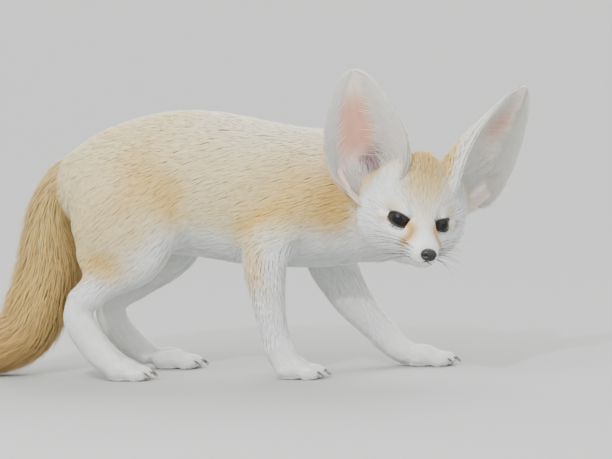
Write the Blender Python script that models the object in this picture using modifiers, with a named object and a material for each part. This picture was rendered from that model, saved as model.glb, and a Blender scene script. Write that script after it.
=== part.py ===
"""A life-size fennec fox that walks along with its head turned to its right.

+X is the way the body faces, +Y its left side and +Z up. Sizes in the tables are millimetres from
a point on the floor under the body, and MM turns them into metres. The last step moves the origin
to the floor under the middle of the model's box. The flesh is modelled whole, from lofts that one
voxel remesh blends, and is then parted into its nodes by thin cuts. The ears, eyes, nose, claws
and tail are shapes of their own.
"""

import bisect
import math
import random

import bmesh
import bpy
from mathutils import Matrix, Vector
from mathutils.bvhtree import BVHTree

MM = 0.001
GAP = 0.3

# Each station of a loft: x, y, z of its middle, half width, height above and depth below the middle.
TORSO = [
    (-214, 0, 164, 14, 16, 16),
    (-206, 0, 164, 26, 27, 26),
    (-190, 0, 163, 38, 39, 38),
    (-165, 0, 163, 46, 51, 48),
    (-138, 0, 163, 48, 59, 56),
    (-105, 0, 164, 47, 63, 62),
    (-75, 0, 162, 46, 63, 64),
    (-40, 0, 157, 45, 60, 66),
    (-10, 0, 151, 44, 60, 62),
    (18, 0, 147, 42, 61, 58),
    (42, 0, 145, 34, 54, 50),
    (56, 0, 144, 18, 34, 30),
]
NECK = [
    (-20, 0, 156, 34, 48, 46),
    (20, 0, 152, 38, 54, 58),
    (50, -2, 148, 38, 49, 55),
    (75, -14, 145, 36, 43, 52),
    (92, -32, 144, 33, 36, 44),
]

HEAD_TURN, HEAD_PITCH, HEAD_ROLL = -69, 13.5, -10
EYES_MIDDLE = Vector((106, -72, 133))
EYES_FROM_SKULL = Vector((32, 0, 3))

# In the head's own frame, from the skull's middle: +X to the nose, +Y to its left, +Z to the crown.
SKULL = [
    (-48, 0, 6, 16, 18, 18),
    (-40, 0, 5, 28, 32, 32),
    (-24, 0, 0, 38, 53, 36),
    (-6, 0, -6, 43, 60, 34),
    (10, 0, -10, 43, 51, 31),
    (24, 0, -12, 34, 38, 26),
    (36, 0, -13, 23, 24, 21),
    (46, 0, -14, 16, 15, 18),
    (56, 0, -15, 12.5, 10.5, 14.5),
    (63, 0, -15.5, 10, 8, 11),
    (67, 0, -15.5, 7, 5, 7),
]

EYE_RADIUS = 10.5
EYE_AT = Vector((24.5, 15.3, 2))
EYE_LOOKS = Vector((0.81, 0.55, 0.12))
# Half the width and half the height of the gap between the lids, and how far its outer corner rises.
EYE_OPENING = (8.8, 6.1)
EYE_SLANT = 8
# The lids' thickness, how far their ball is behind the eye's, and where the gap's cutter starts and ends.
LID, LID_BACK, OPENING_REACH = 1.5, 0.5, (1.0, 26.0)
# The points of the gap's outline, how pointed its corners are, and the segments of the eyeball.
OPENING_POINTS, OPENING_POINTED, EYE_SEGMENTS = 20, 1.25, 16
# The hollow round each eye: its radius, and how far its bottom is from the middle of the eye.
ORBIT_RADIUS, ORBIT_BOTTOM = 22, 6

NOSE_AT = Vector((67.5, 0, -13.5))
NOSE_HALF = (5.5, 6.8, 5.2)
# Each nostril: its half sizes, its place ahead and aside in half sizes of the nose, and how it leans.
NOSTRIL, NOSTRIL_AHEAD, NOSTRIL_ASIDE, NOSTRIL_LEAN = (3.5, 1.7, 1.5), 0.75, 0.55, 25

MOUTH = [(66, 0, -19.5), (63, 4, -21.5), (56, 9, -22), (46, 13, -22.5), (37, 17, -22)]
MOUTH_RADIUS = 0.8

EAR_ROOT = {"right": Vector((-8, -33, 20)), "left": Vector((-8, 35, 22))}
EAR_TIP = {"right": Vector((-12, -70, 110)), "left": Vector((-8, 77, 117))}
# The swelling of the head behind and below each ear: its middle from the ear's root, and half sizes.
EAR_MOUND_FROM_ROOT, EAR_MOUND = Vector((-10, 0, -10)), (14, 12, 13)
EAR_OPENS_OUT = {"right": 20, "left": 33}
# An ear's thickness at its root, and the shares of it that the rim and the tip lose.
EAR_THICK, THINNER_RIM, THINNER_TIP = 2.4, 0.45, 0.3
EAR_ROWS, EAR_COLUMNS = 11, 10
# Share of the ear's length, its greatest width, and half the angle that the cup wraps round.
EAR = [
    (-0.16, 22, 130),
    (0.0, 40, 118),
    (0.15, 58, 100),
    (0.32, 68, 80),
    (0.5, 65, 64),
    (0.68, 54, 52),
    (0.84, 39, 43),
    (0.94, 25, 37),
    (1.0, 11, 32),
]

# Legs: x, y, z of the middle, half width, then half depth to the fore and to the rear.
FORELEG = {
    "right": [
        (-8, -28, 155, 18, 30, 28),
        (-24, -35, 125, 17.5, 26, 25),
        (-31, -38, 97, 15, 20, 20),
        (-30, -38, 83, 13.5, 17.5, 17.5),
        (-28, -38, 62, 12, 15, 15),
        (-25, -38, 41, 11, 13.5, 13.5),
        (-20, -38, 26, 11, 13.5, 14),
        (-14, -38, 12, 11.5, 13, 12),
    ],
    "left": [
        (0, 28, 150, 18, 28, 28),
        (8, 34, 115, 17, 26, 24),
        (17, 37, 88, 15, 22, 22),
        (23, 37, 76, 14, 21, 20),
        (33, 37, 59, 13, 18.5, 18.5),
        (46, 37, 43, 12, 16, 15.5),
        (58, 37, 29, 11.5, 13.5, 13),
        (70, 37, 17, 11, 11.5, 11.5),
        (80, 37, 10, 11, 10, 10),
    ],
}
# Haunch and shank in one, from the hip to the hock.
HINDLEG = {
    "right": [
        (-166, -15, 188, 16, 22, 20),
        (-156, -31, 158, 25, 46, 40),
        (-150, -35, 134, 23, 55, 49),
        (-149, -36, 118, 21, 46, 40),
        (-150, -37, 103, 17, 36, 32),
        (-156, -37, 93, 14.5, 22, 26),
        (-168, -37, 84, 12.5, 16, 18),
        (-185, -37, 71, 10.5, 13.5, 13.5),
        (-193, -37, 62, 9.5, 12, 11),
    ],
    "left": [
        (-162, 15, 188, 16, 22, 20),
        (-150, 31, 158, 25, 46, 40),
        (-136, 35, 134, 23, 52, 46),
        (-128, 36, 117, 21, 42, 38),
        (-126, 37, 100, 17, 28, 28),
        (-133, 37, 88, 14.5, 16, 20),
        (-148, 37, 78, 12.5, 14, 15),
        (-168, 37, 67, 10.5, 12.5, 13),
        (-178, 37, 59, 9.5, 12, 11),
    ],
}
# The back of each thigh above the hock: its middle and half sizes.
HAMSTRING = {"right": Vector((-174, -34, 112)), "left": Vector((-153, 34, 108))}
HAMSTRING_HALF = (20, 16, 27)
METATARSUS = {
    "right": [
        (-192, -37, 68, 9, 9, 10),
        (-192, -37, 52, 10.5, 13.5, 13),
        (-183, -37, 35, 10.5, 13, 13),
        (-173, -37, 21, 11, 12.5, 12),
        (-162, -37, 11, 11.5, 11, 10),
    ],
    "left": [
        (-178, 37, 66, 9, 9, 10),
        (-180, 37, 50, 10.5, 13.5, 13),
        (-173, 37, 35, 10.5, 13, 13),
        (-160, 37, 21, 11, 12.5, 12),
        (-144, 37, 11, 11.5, 10, 10),
    ],
}
# Where the heel of each paw's flat stands, and how far it is from there to the tips of its toes.
PAW_HEEL = {
    "forepaw_right": Vector((-26, -38, 0)),
    "forepaw_left": Vector((74, 37, 0)),
    "hindpaw_right": Vector((-172, -37, 0)),
    "hindpaw_left": Vector((-146, 37, 0)),
}
PAW_LENGTH = {"forepaw_right": 45, "forepaw_left": 48, "hindpaw_right": 43, "hindpaw_left": 48}
PAW_HALF_WIDTH = {"forepaw": 13.5, "hindpaw": 12.5}
PAW_HALF_HEIGHT = 10
# Half the length of a paw's flat in paw lengths, and how far flat and toes reach below the floor.
FLAT_REACH, FLAT_SINKS, TOE_SINKS = 0.36, 1.5, 0.7
TOE_HALF = (9, 4.6, 6.4)
# Each toe of a paw: its place across the paw in half widths, and its reach in paw lengths.
TOES = [(-0.75, 0.89), (-0.25, 1.0), (0.25, 1.0), (0.75, 0.89)]
# Each claw: its length, radius, droop, how much thinner its tip is, and where in its toe it starts.
CLAW_LENGTH, CLAW_RADIUS, CLAW_DROOP, CLAW_THINS = 8, 1.3, 4.5, 0.75
CLAW_START = Vector((5, 0, 1.5))

TAIL = [
    (-192, 0, 184, 14, 14, 14),
    (-208, 0, 170, 19, 18, 18),
    (-219, 0, 148, 23, 22, 23),
    (-223, 0, 122, 27, 34, 29),
    (-225, 0, 94, 29, 40, 33),
    (-235, 0, 64, 30, 36, 33),
    (-249, 0, 37, 28, 32, 31),
    (-282, 0, 22, 24, 26, 24),
    (-318, 0, 14, 16, 16, 14),
    (-346, 0, 7, 5, 5, 5),
]

# The cuts that part the skin, in order: the node, its triangles, the middle of its cut, the way it
# lies from there, how far it reaches, and half its block fore and aft and side to side.
PARTING = [
    ("head", 2500, (77, -21, 144), (0.75, -0.66, -0.05), 150, 64, 84),
    ("neck", 500, (44, 0, 146), (0.97, -0.25, 0), 70, 62, 60),
    ("forepaw_right", 400, (-21, -38, 30), (0.2, 0, -0.98), 45, 60, 22),
    ("forepaw_left", 400, (59, 37, 28), (0.68, 0, -0.73), 90, 60, 22),
    ("foreleg_right", 260, (-28, -40, 112), (0.05, 0, -1), 110, 27, 22),
    ("foreleg_left", 260, (12, 40, 104), (0.53, 0, -0.85), 110, 29, 22),
    ("hindpaw_right", 480, (-182, -37, 72), (-0.35, 0, -0.94), 95, 90, 20),
    ("hindpaw_left", 480, (-167, 37, 69), (-0.35, 0, -0.94), 95, 100, 20),
    ("shank_right", 220, (-155, -37, 97), (-0.5, 0, -0.87), 60, 48, 20),
    ("shank_left", 220, (-136, 37, 91), (-0.5, 0, -0.87), 60, 48, 20),
    ("thigh_right", 420, (-152, -44, 176), (0.05, 0, -1), 110, 56, 26),
    ("thigh_left", 420, (-140, 44, 176), (0.05, 0, -1), 110, 54, 26),
]
# These keep their small forms, and the others are smoothed much more.
DETAILED = ("head", "forepaw_right", "forepaw_left", "hindpaw_right", "hindpaw_left")
TORSO_TRIANGLES = 4600
# The tail's core, as a share of the way out to the tips of its fur, and its sides and spans.
TAIL_CORE, TAIL_SIDES, TAIL_SPANS = 0.6, 12, 6
# The lengths of the tail, and how far along it each ends.
TAIL_LENGTHS = [("tail_root", 80), ("tail_upper", 140), ("tail_bend", 205), ("tail_end", 400)]
# The room between the tail's facets and the flesh's.
TAIL_CLEARANCE = 0.75
# The tail's locks stand in rings this far apart, so many to a ring, and lie back along it.
LOCK_SPACING, LOCKS_IN_RING = 28, 8
# The first ring's distance, and the bare length at the tail's tip.
FIRST_RING, BARE_TIP = 4, 16
# How deep a lock's root sits and how far out its fur lies, as shares of the way out to the tips.
LOCK_ROOT, LOCK_TOP = 0.38, 0.97
# Each size of lock: its length, greatest width and greatest thickness.
LOCK_SIZES = [(46, 25, 4.5), (54, 28, 5), (64, 25, 5)]
# Along a lock: share of its length, of its width and of its thickness.
LOCK_SHAPE = [(0.0, 0.55, 1.0), (0.35, 1.0, 1.0), (0.7, 0.7, 0.65)]
# How far a lock strays: round the tail in ring places, along it in spacings, in length, and as it bends.
LOCK_STRAYS, LOCK_STAGGER, LOCK_LENGTH_VARIES, LOCK_BENDS = 0.2, 0.4, 0.1, 0.25
# The half width of the tail under which its locks are narrower, and the least they keep.
FULL_TAIL, LEAST_LOCK = 26, 0.45
# A lock's middle and its tip keep this height above the floor, which cuts a flat on the lowest.
LOCK_HEIGHT, TIP_HEIGHT = 1.0, 0.5
SEED = 5

# The voxels that blend the forms, and the rounds of smoothing on the plain and the detailed skin.
VOXEL, SMOOTHING, DETAIL_SMOOTHING = 1.3, 22, 4
# How far past its block a node's skin is cropped before it is made coarser.
CROP_MARGIN = 6

# The looks of each kind of node: its material's name, colour and roughness.
FINISHES = {
    "eye": ("eye", (0.02, 0.015, 0.012), 0.08),
    "nose": ("nose_skin", (0.03, 0.03, 0.035), 0.35),
    "ear": ("ear_skin", (0.78, 0.56, 0.48), 0.7),
    "tail": ("tail_fur", (0.48, 0.32, 0.17), 0.85),
    "flesh": ("fur", (0.72, 0.62, 0.5), 0.85),
}


def clear_scene():
    for obj in list(bpy.data.objects):
        bpy.data.objects.remove(obj)


def new_collection(name):
    made = bpy.data.collections.new(name)
    bpy.context.scene.collection.children.link(made)
    return made


def new_object(name, mesh, collection):
    obj = bpy.data.objects.new(name, mesh)
    collection.objects.link(obj)
    return obj


def mesh_from_bmesh(bm, name):
    bmesh.ops.recalc_face_normals(bm, faces=bm.faces)
    mesh = bpy.data.meshes.new(name)
    bm.to_mesh(mesh)
    bm.free()
    return mesh


def bridge(bm, ring, following):
    """Two triangles in each space between two rings of vertices."""
    for k in range(len(ring)):
        bm.faces.new((ring[k - 1], ring[k], following[k]))
        bm.faces.new((ring[k - 1], following[k], following[k - 1]))


def on_curve(a, b, c, d, t):
    """The value at t between b and c, on the smooth curve through a, b, c and d."""
    square, cube = 2 * a - 5 * b + 4 * c - d, 3 * b - a - 3 * c + d
    return (2 * b + (c - a) * t + square * t**2 + cube * t**3) / 2


def between(stations, steps):
    """The stations with steps - 1 more in each span, on a smooth curve through them all."""
    made = []
    last = len(stations) - 1
    for i in range(last):
        rows = [stations[max(0, min(last, i + k))] for k in (-1, 0, 1, 2)]
        for step in range(steps):
            made.append([on_curve(*values, step / steps) for values in zip(*rows)])
    made.append(list(stations[last]))
    return made


def loft(name, stations, collection, steps=4, sides=24, upward=Vector((0, 0, 1)), place=Matrix()):
    """A closed tube of egg-shaped rings along the stations. upward is the way their height points."""
    rows = between(stations, steps)
    middles = [Vector(row[:3]) for row in rows]
    bm = bmesh.new()
    rings = []
    for i, row in enumerate(rows):
        ahead = (middles[min(i + 1, len(rows) - 1)] - middles[max(i - 1, 0)]).normalized()
        side = upward.cross(ahead).normalized()
        up = ahead.cross(side)
        half_width, above, below = row[3:]
        ring = []
        for k in range(sides):
            angle = 2 * math.pi * k / sides
            height = (above if math.sin(angle) > 0 else below) * math.sin(angle)
            point = middles[i] + side * half_width * math.cos(angle) + up * height
            ring.append(bm.verts.new(place @ point * MM))
        rings.append(ring)
    for ring, following in zip(rings, rings[1:]):
        bridge(bm, ring, following)
    bm.faces.new(rings[0])
    bm.faces.new(rings[-1])
    return new_object(name, mesh_from_bmesh(bm, name), collection)


def ellipsoid(name, middle, half, collection, turn=Matrix(), segments=24):
    bm = bmesh.new()
    bmesh.ops.create_uvsphere(bm, u_segments=segments, v_segments=segments // 2, radius=1)
    size = Matrix.Diagonal((*half, 1))
    bmesh.ops.transform(bm, matrix=Matrix.Translation(middle) @ turn @ size, verts=bm.verts)
    bmesh.ops.scale(bm, vec=(MM, MM, MM), verts=bm.verts)
    return new_object(name, mesh_from_bmesh(bm, name), collection)


def block(name, start, end, half_fore, half_side, collection, grow=0.0):
    """A box whose length runs from start to end, grown by grow on every face. Its side faces Y."""
    along = (end - start).normalized()
    side = Vector((0, 1, 0))
    fore = side.cross(along).normalized()
    side = along.cross(fore)
    turn = Matrix((fore, side, along)).transposed().to_4x4()
    length = (end - start).length
    half = Vector((half_fore + grow, half_side + grow, length / 2 + grow))
    bm = bmesh.new()
    bmesh.ops.create_cube(bm, size=2)
    place = Matrix.Translation((start + end) / 2) @ turn @ Matrix.Diagonal((*half, 1))
    bmesh.ops.transform(bm, matrix=place, verts=bm.verts)
    bmesh.ops.scale(bm, vec=(MM, MM, MM), verts=bm.verts)
    obj = new_object(name, mesh_from_bmesh(bm, name), collection)
    return hidden(obj)


def hidden(obj):
    obj.hide_render = True
    obj.display_type = "WIRE"
    return obj


def evaluated_mesh(obj):
    bpy.context.view_layer.update()
    graph = bpy.context.evaluated_depsgraph_get()
    return bpy.data.meshes.new_from_object(obj.evaluated_get(graph))


def apply_modifiers(obj):
    mesh = evaluated_mesh(obj)
    obj.modifiers.clear()
    obj.data = mesh


def boolean(obj, operation, other, solver="EXACT"):
    modifier = obj.modifiers.new(operation.lower(), "BOOLEAN")
    modifier.operation = operation
    modifier.solver = solver
    modifier.object = other
    apply_modifiers(obj)


def keep_largest(obj):
    """Drops every closed surface but the one that reaches furthest."""
    bm = bmesh.new()
    bm.from_mesh(obj.data)
    islands = []
    left = set(bm.verts)
    while left:
        start = left.pop()
        island = {start}
        edge_of_search = [start]
        while edge_of_search:
            vert = edge_of_search.pop()
            for edge in vert.link_edges:
                other = edge.other_vert(vert)
                if other in left:
                    left.remove(other)
                    island.add(other)
                    edge_of_search.append(other)
        islands.append(island)
    islands.sort(key=len)
    for island in islands[:-1]:
        bmesh.ops.delete(bm, geom=list(island), context="VERTS")
    bm.to_mesh(obj.data)
    bm.free()


def joined(name, sources, collection):
    """One object with the meshes of all the sources, which are removed."""
    bm = bmesh.new()
    for source in sources:
        bm.from_mesh(source.data)
    mesh = bpy.data.meshes.new(name)
    bm.to_mesh(mesh)
    bm.free()
    for source in sources:
        bpy.data.objects.remove(source)
    return new_object(name, mesh, collection)


def blended(name, source, smoothing, collection):
    """The source's shapes blended into one skin, cut off at the floor."""
    obj = new_object(name, source.data.copy(), collection)
    remesh = obj.modifiers.new("blend", "REMESH")
    remesh.mode = "VOXEL"
    remesh.voxel_size = VOXEL * MM
    smooth = obj.modifiers.new("smooth", "SMOOTH")
    smooth.factor = 0.5
    smooth.iterations = smoothing
    apply_modifiers(obj)
    keep_largest(obj)
    return hidden(obj)


def coarsened(obj, triangles):
    decimate = obj.modifiers.new("coarser", "DECIMATE")
    decimate.ratio = triangles / sum(len(face.vertices) - 2 for face in obj.data.polygons)
    apply_modifiers(obj)


def head_place():
    """The head's own frame, as a matrix in millimetres."""
    turn = (
        Matrix.Rotation(math.radians(HEAD_TURN), 4, "Z")
        @ Matrix.Rotation(math.radians(HEAD_PITCH), 4, "Y")
        @ Matrix.Rotation(math.radians(HEAD_ROLL), 4, "X")
    )
    return Matrix.Translation(EYES_MIDDLE - turn @ EYES_FROM_SKULL) @ turn


def turn_of(place):
    return place.to_3x3().to_4x4()


def mirrored(vector, side):
    return Vector((vector.x, vector.y if side == "left" else -vector.y, vector.z))


def toe_middles(paw):
    half_width = PAW_HALF_WIDTH[paw.split("_")[0]]
    for across, reach in TOES:
        x = PAW_LENGTH[paw] * reach - TOE_HALF[0]
        yield PAW_HEEL[paw] + Vector((x, across * half_width, TOE_HALF[2] - TOE_SINKS))


def paw_forms(paw, collection):
    """The flat of a paw and its four toes. Both reach a little below the floor, where they are cut."""
    half_width = PAW_HALF_WIDTH[paw.split("_")[0]]
    half_length = PAW_LENGTH[paw] * FLAT_REACH
    palm = PAW_HEEL[paw] + Vector((half_length, 0, PAW_HALF_HEIGHT - FLAT_SINKS))
    forms = [ellipsoid("palm", palm, (half_length, half_width, PAW_HALF_HEIGHT), collection)]
    for middle in toe_middles(paw):
        forms.append(ellipsoid("toe", middle, TOE_HALF, collection, segments=16))
    return forms


def claws(paw, collection):
    made = []
    for toe in toe_middles(paw):
        stations = []
        for share in (0, 0.5, 1):
            point = toe + CLAW_START + Vector((share * CLAW_LENGTH, 0, -CLAW_DROOP * share**2))
            radius = CLAW_RADIUS * (1 - CLAW_THINS * share)
            stations.append((*point, radius * 0.7, radius, radius))
        made.append(loft("claw", stations, collection, steps=1, sides=5))
    return joined("claws", made, collection)


def flesh_forms(collection):
    """Every fleshy form, still apart from one another."""
    place = head_place()
    skull = loft("skull_form", SKULL, collection, place=place)
    forms = [loft("torso_form", TORSO, collection), loft("neck_form", NECK, collection), skull]
    for side in ("right", "left"):
        forms.append(loft("foreleg_form", FORELEG[side], collection, upward=Vector((1, 0, 0))))
        forms.append(loft("hindleg_form", HINDLEG[side], collection, upward=Vector((1, 0, 0))))
        forms.append(loft("metatarsus_form", METATARSUS[side], collection, upward=Vector((1, 0, 0))))
        forms += paw_forms("forepaw_" + side, collection)
        forms += paw_forms("hindpaw_" + side, collection)
        forms.append(ellipsoid("hamstring_form", HAMSTRING[side], HAMSTRING_HALF, collection))
        mound = EAR_ROOT[side] + mirrored(EAR_MOUND_FROM_ROOT, side)
        forms.append(ellipsoid("ear_mound_form", place @ mound, EAR_MOUND, collection, turn=turn_of(place)))
        looks = mirrored(EYE_LOOKS, side).normalized()
        hollow = mirrored(EYE_AT, side) + looks * (ORBIT_BOTTOM + ORBIT_RADIUS)
        orbit = ellipsoid("orbit", place @ hollow, (ORBIT_RADIUS,) * 3, collection)
        boolean(skull, "DIFFERENCE", hidden(orbit))
        lid_middle = mirrored(EYE_AT, side) - looks * LID_BACK
        forms.append(ellipsoid("lid_form", place @ lid_middle, (EYE_RADIUS + LID,) * 3, collection))
    return forms


def part_skins(skins, work, fox):
    """Parts the blended skins by the blocks, each in front of the ones after it in the list."""
    nodes = {}
    cutters = [floor_cutter(work)]
    for name, triangles, cut, toward, reach, half_fore, half_side in PARTING:
        start = Vector(cut)
        end = start + Vector(toward).normalized() * reach
        shape = (start, end, half_fore, half_side, work)
        node = new_object(name, skins["detailed" if name in DETAILED else "smooth"].data.copy(), fox)
        boolean(node, "INTERSECT", block(name + "_crop", *shape, grow=CROP_MARGIN), solver="MANIFOLD")
        coarsened(node, triangles)
        boolean(node, "INTERSECT", block(name + "_block", *shape))
        for cutter in cutters:
            boolean(node, "DIFFERENCE", cutter)
        keep_largest(node)
        nodes[name] = node
        cutters.append(block(name + "_gap", *shape, grow=GAP))
    torso = new_object("torso", skins["smooth"].data.copy(), fox)
    coarsened(torso, TORSO_TRIANGLES)
    for cutter in cutters:
        boolean(torso, "DIFFERENCE", cutter)
    keep_largest(torso)
    nodes["torso"] = torso
    return nodes


def grown(source, by, collection):
    """A copy of the source whose surface stands out by so many millimetres."""
    obj = new_object(source.name + "_grown", source.data.copy(), collection)
    displace = obj.modifiers.new("grow", "DISPLACE")
    displace.strength = by * MM
    displace.mid_level = 0
    apply_modifiers(obj)
    return hidden(obj)


def eye_opening(side, place, collection):
    """The prism through the lids: an almond, wider at the inner corner's side, along the look."""
    looks = mirrored(EYE_LOOKS, side).normalized()
    outward = Vector((0, 1 if side == "left" else -1, 0))
    outward = (outward - looks * outward.dot(looks)).normalized()
    upward = looks.cross(outward) if side == "left" else outward.cross(looks)
    if upward.z < 0:
        upward = -upward
    slant = math.radians(EYE_SLANT)
    across = outward * math.cos(slant) + upward * math.sin(slant)
    upward = upward * math.cos(slant) - outward * math.sin(slant)
    half_width, half_height = EYE_OPENING
    outline = []
    for k in range(OPENING_POINTS):
        angle = 2 * math.pi * k / OPENING_POINTS
        rise = math.copysign(abs(math.sin(angle)) ** OPENING_POINTED, math.sin(angle))
        outline.append(across * half_width * math.cos(angle) + upward * half_height * rise)
    middle = mirrored(EYE_AT, side)
    bm = bmesh.new()
    rings = []
    for distance in OPENING_REACH:
        rings.append([bm.verts.new((place @ (middle + looks * distance + p)) * MM) for p in outline])
    bridge(bm, *rings)
    bm.faces.new(rings[0])
    bm.faces.new(rings[1])
    return hidden(new_object("eye_opening", mesh_from_bmesh(bm, "eye_opening"), collection))


def surface_finder(obj):
    bm = bmesh.new()
    bm.from_mesh(obj.data)
    finder = BVHTree.FromBMesh(bm)
    bm.free()
    return finder


def mouth_groove(head, place, collection):
    """A thin tube along the line of the mouth, from one corner round under the nose to the other."""
    finder = surface_finder(head)
    left = [Vector(point) for point in MOUTH]
    path = [mirrored(point, "right") for point in reversed(left[1:])] + left
    stations = []
    for point in path:
        on_skin = finder.find_nearest(place @ point * MM)[0] / MM
        on_skin = place.inverted() @ on_skin
        stations.append((*on_skin, MOUTH_RADIUS, MOUTH_RADIUS, MOUTH_RADIUS))
    return hidden(loft("mouth_groove", stations, collection, steps=2, sides=6, place=place))


def finish_head(head, work, fox):
    """Sets the nose and the eyes into the head, and cuts the lids and the mouth."""
    place = head_place()
    turn = turn_of(place)
    boolean(head, "DIFFERENCE", mouth_groove(head, place, work))
    nose = ellipsoid("nose", place @ NOSE_AT, NOSE_HALF, fox, turn=turn, segments=16)
    boolean(head, "DIFFERENCE", grown(nose, GAP, work))
    for side in ("right", "left"):
        out = 1 if side == "left" else -1
        at = NOSE_AT + Vector((NOSE_HALF[0] * NOSTRIL_AHEAD, out * NOSE_HALF[1] * NOSTRIL_ASIDE, 0))
        lean = turn @ Matrix.Rotation(math.radians(-NOSTRIL_LEAN * out), 4, "X")
        nostril = ellipsoid("nostril", place @ at, NOSTRIL, work, turn=lean, segments=10)
        boolean(nose, "DIFFERENCE", hidden(nostril))
        boolean(head, "DIFFERENCE", eye_opening(side, place, work))
        middle = place @ mirrored(EYE_AT, side)
        socket = ellipsoid("socket", middle, (EYE_RADIUS + GAP,) * 3, work, turn=turn, segments=EYE_SEGMENTS)
        boolean(head, "DIFFERENCE", hidden(socket))
        ellipsoid("eye_" + side, middle, (EYE_RADIUS,) * 3, fox, turn=turn, segments=EYE_SEGMENTS)
    keep_largest(head)


def ear(side, nodes, work, fox):
    """A thin cup with the same triangles on both faces. It stands on the head, a gap clear of it."""
    place = head_place()
    root, tip = EAR_ROOT[side], EAR_TIP[side]
    axis = (tip - root).normalized()
    length = (tip - root).length
    out = 1 if side == "left" else -1
    opens = Matrix.Rotation(math.radians(out * EAR_OPENS_OUT[side]), 3, "Z") @ Vector((1, 0, 0))
    opens = (opens - axis * opens.dot(axis)).normalized()
    across = axis.cross(opens)
    rows = []
    for i in range(EAR_ROWS + 1):
        position = i / EAR_ROWS * (len(EAR) - 1)
        spread = between(EAR, 8)
        share, width, half_angle = spread[round(position * 8)]
        half_angle = math.radians(half_angle)
        radius = width / 2 / math.sin(min(half_angle, math.pi / 2))
        depth = radius * (1 - math.cos(half_angle))
        faces = []
        for offset in (1, -1):
            points = []
            for k in range(EAR_COLUMNS + 1):
                turn = (2 * k / EAR_COLUMNS - 1) * half_angle
                at_rim = abs(2 * k / EAR_COLUMNS - 1) ** 4
                thick = EAR_THICK * (1 - THINNER_RIM * at_rim) * (1 - THINNER_TIP * max(0, share))
                r = radius + offset * thick / 2
                point = root + axis * length * share - opens * (r * math.cos(turn) - radius + depth / 2)
                points.append(point + across * r * math.sin(turn))
            faces.append(points)
        rows.append(faces)
    bm = bmesh.new()
    grid = [[[bm.verts.new(place @ p * MM) for p in points] for points in faces] for faces in rows]
    for a, b in zip(grid, grid[1:]):
        for k in range(EAR_COLUMNS):
            for face in (0, 1):
                corners = (a[face][k], a[face][k + 1], b[face][k + 1], b[face][k])
                bm.faces.new((corners[0], corners[1], corners[2]))
                bm.faces.new((corners[0], corners[2], corners[3]))
        for k in (0, EAR_COLUMNS):
            bm.faces.new((a[0][k], a[1][k], b[1][k], b[0][k]))
    for row in (grid[0], grid[-1]):
        for k in range(EAR_COLUMNS):
            bm.faces.new((row[0][k], row[0][k + 1], row[1][k + 1], row[1][k]))
    name = "ear_" + side
    made = new_object(name, mesh_from_bmesh(bm, name), fox)
    for flesh in ("head", "neck"):
        boolean(made, "DIFFERENCE", grown(nodes[flesh], GAP, work), solver="MANIFOLD")
    keep_largest(made)


def floor_cutter(collection):
    return block("below_floor", Vector((0, 0, -100)), Vector((0, 0, 0)), 600, 400, collection)


class TailAxis:
    """The tail's middle line, its direction and its size at any distance from its root."""

    def __init__(self):
        self.rows = between(TAIL, 8)
        self.middles = [Vector(row[:3]) for row in self.rows]
        self.distances = [0]
        for a, b in zip(self.middles, self.middles[1:]):
            self.distances.append(self.distances[-1] + (b - a).length)
        self.length = self.distances[-1]

    def place(self, distance):
        """The span that holds the distance, and how far along that span it is."""
        k = bisect.bisect_left(self.distances, min(distance, self.length))
        k = min(max(k, 1), len(self.middles) - 1)
        return k, (distance - self.distances[k - 1]) / (self.distances[k] - self.distances[k - 1])

    def size_at(self, distance):
        """The middle, and the half width and two half heights out to the fur's tips."""
        k, step = self.place(distance)
        middle = self.middles[k - 1].lerp(self.middles[k], step)
        step = min(step, 1)
        return middle, [a + (b - a) * step for a, b in zip(self.rows[k - 1][3:], self.rows[k][3:])]

    def at(self, distance, angle, share):
        """The point at a share of the way out to the fur's tips, and the ways out and round there."""
        middle, (half_width, front, back) = self.size_at(distance)
        k = self.place(distance)[0]
        ahead = (self.middles[k] - self.middles[k - 1]).normalized()
        side = Vector((1, 0, 0)).cross(ahead).normalized()
        up = ahead.cross(side)
        rise = front if math.sin(angle) > 0 else back
        out = side * half_width * math.cos(angle) + up * rise * math.sin(angle)
        return middle + out * share, out.normalized(), ahead.cross(out).normalized()


def tail_lock(axis, distance, angle, size, bend, more, collection):
    """A flat, tapered lock that leaves the core and bends back along the tail to a point.

    It is made larger all round by more.
    """
    length, width, thickness = size
    bm = bmesh.new()
    rings = []
    for share, wide, thick in LOCK_SHAPE:
        reach = LOCK_ROOT + (LOCK_TOP - LOCK_ROOT) * (1 - (1 - share) ** 1.7)
        point, out, round_way = axis.at(distance + length * share, angle + bend * share, reach)
        point.z = max(point.z, LOCK_HEIGHT)
        half_wide = round_way * (width * wide / 2 + more)
        half_thick = out * (thickness * thick / 2 + more)
        corners = (point + half_wide, point + half_thick, point - half_wide, point - half_thick)
        rings.append([bm.verts.new(corner * MM) for corner in corners])
    tip = axis.at(distance + length + 2 * more, angle + bend, 1)[0]
    tip.z = max(tip.z, TIP_HEIGHT)
    end = bm.verts.new(tip * MM)
    for ring, following in zip(rings, rings[1:]):
        bridge(bm, ring, following)
    for k in range(4):
        bm.faces.new((rings[-1][k - 1], rings[-1][k], end))
    bm.faces.new(rings[0])
    return new_object("lock", mesh_from_bmesh(bm, "lock"), collection)


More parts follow.
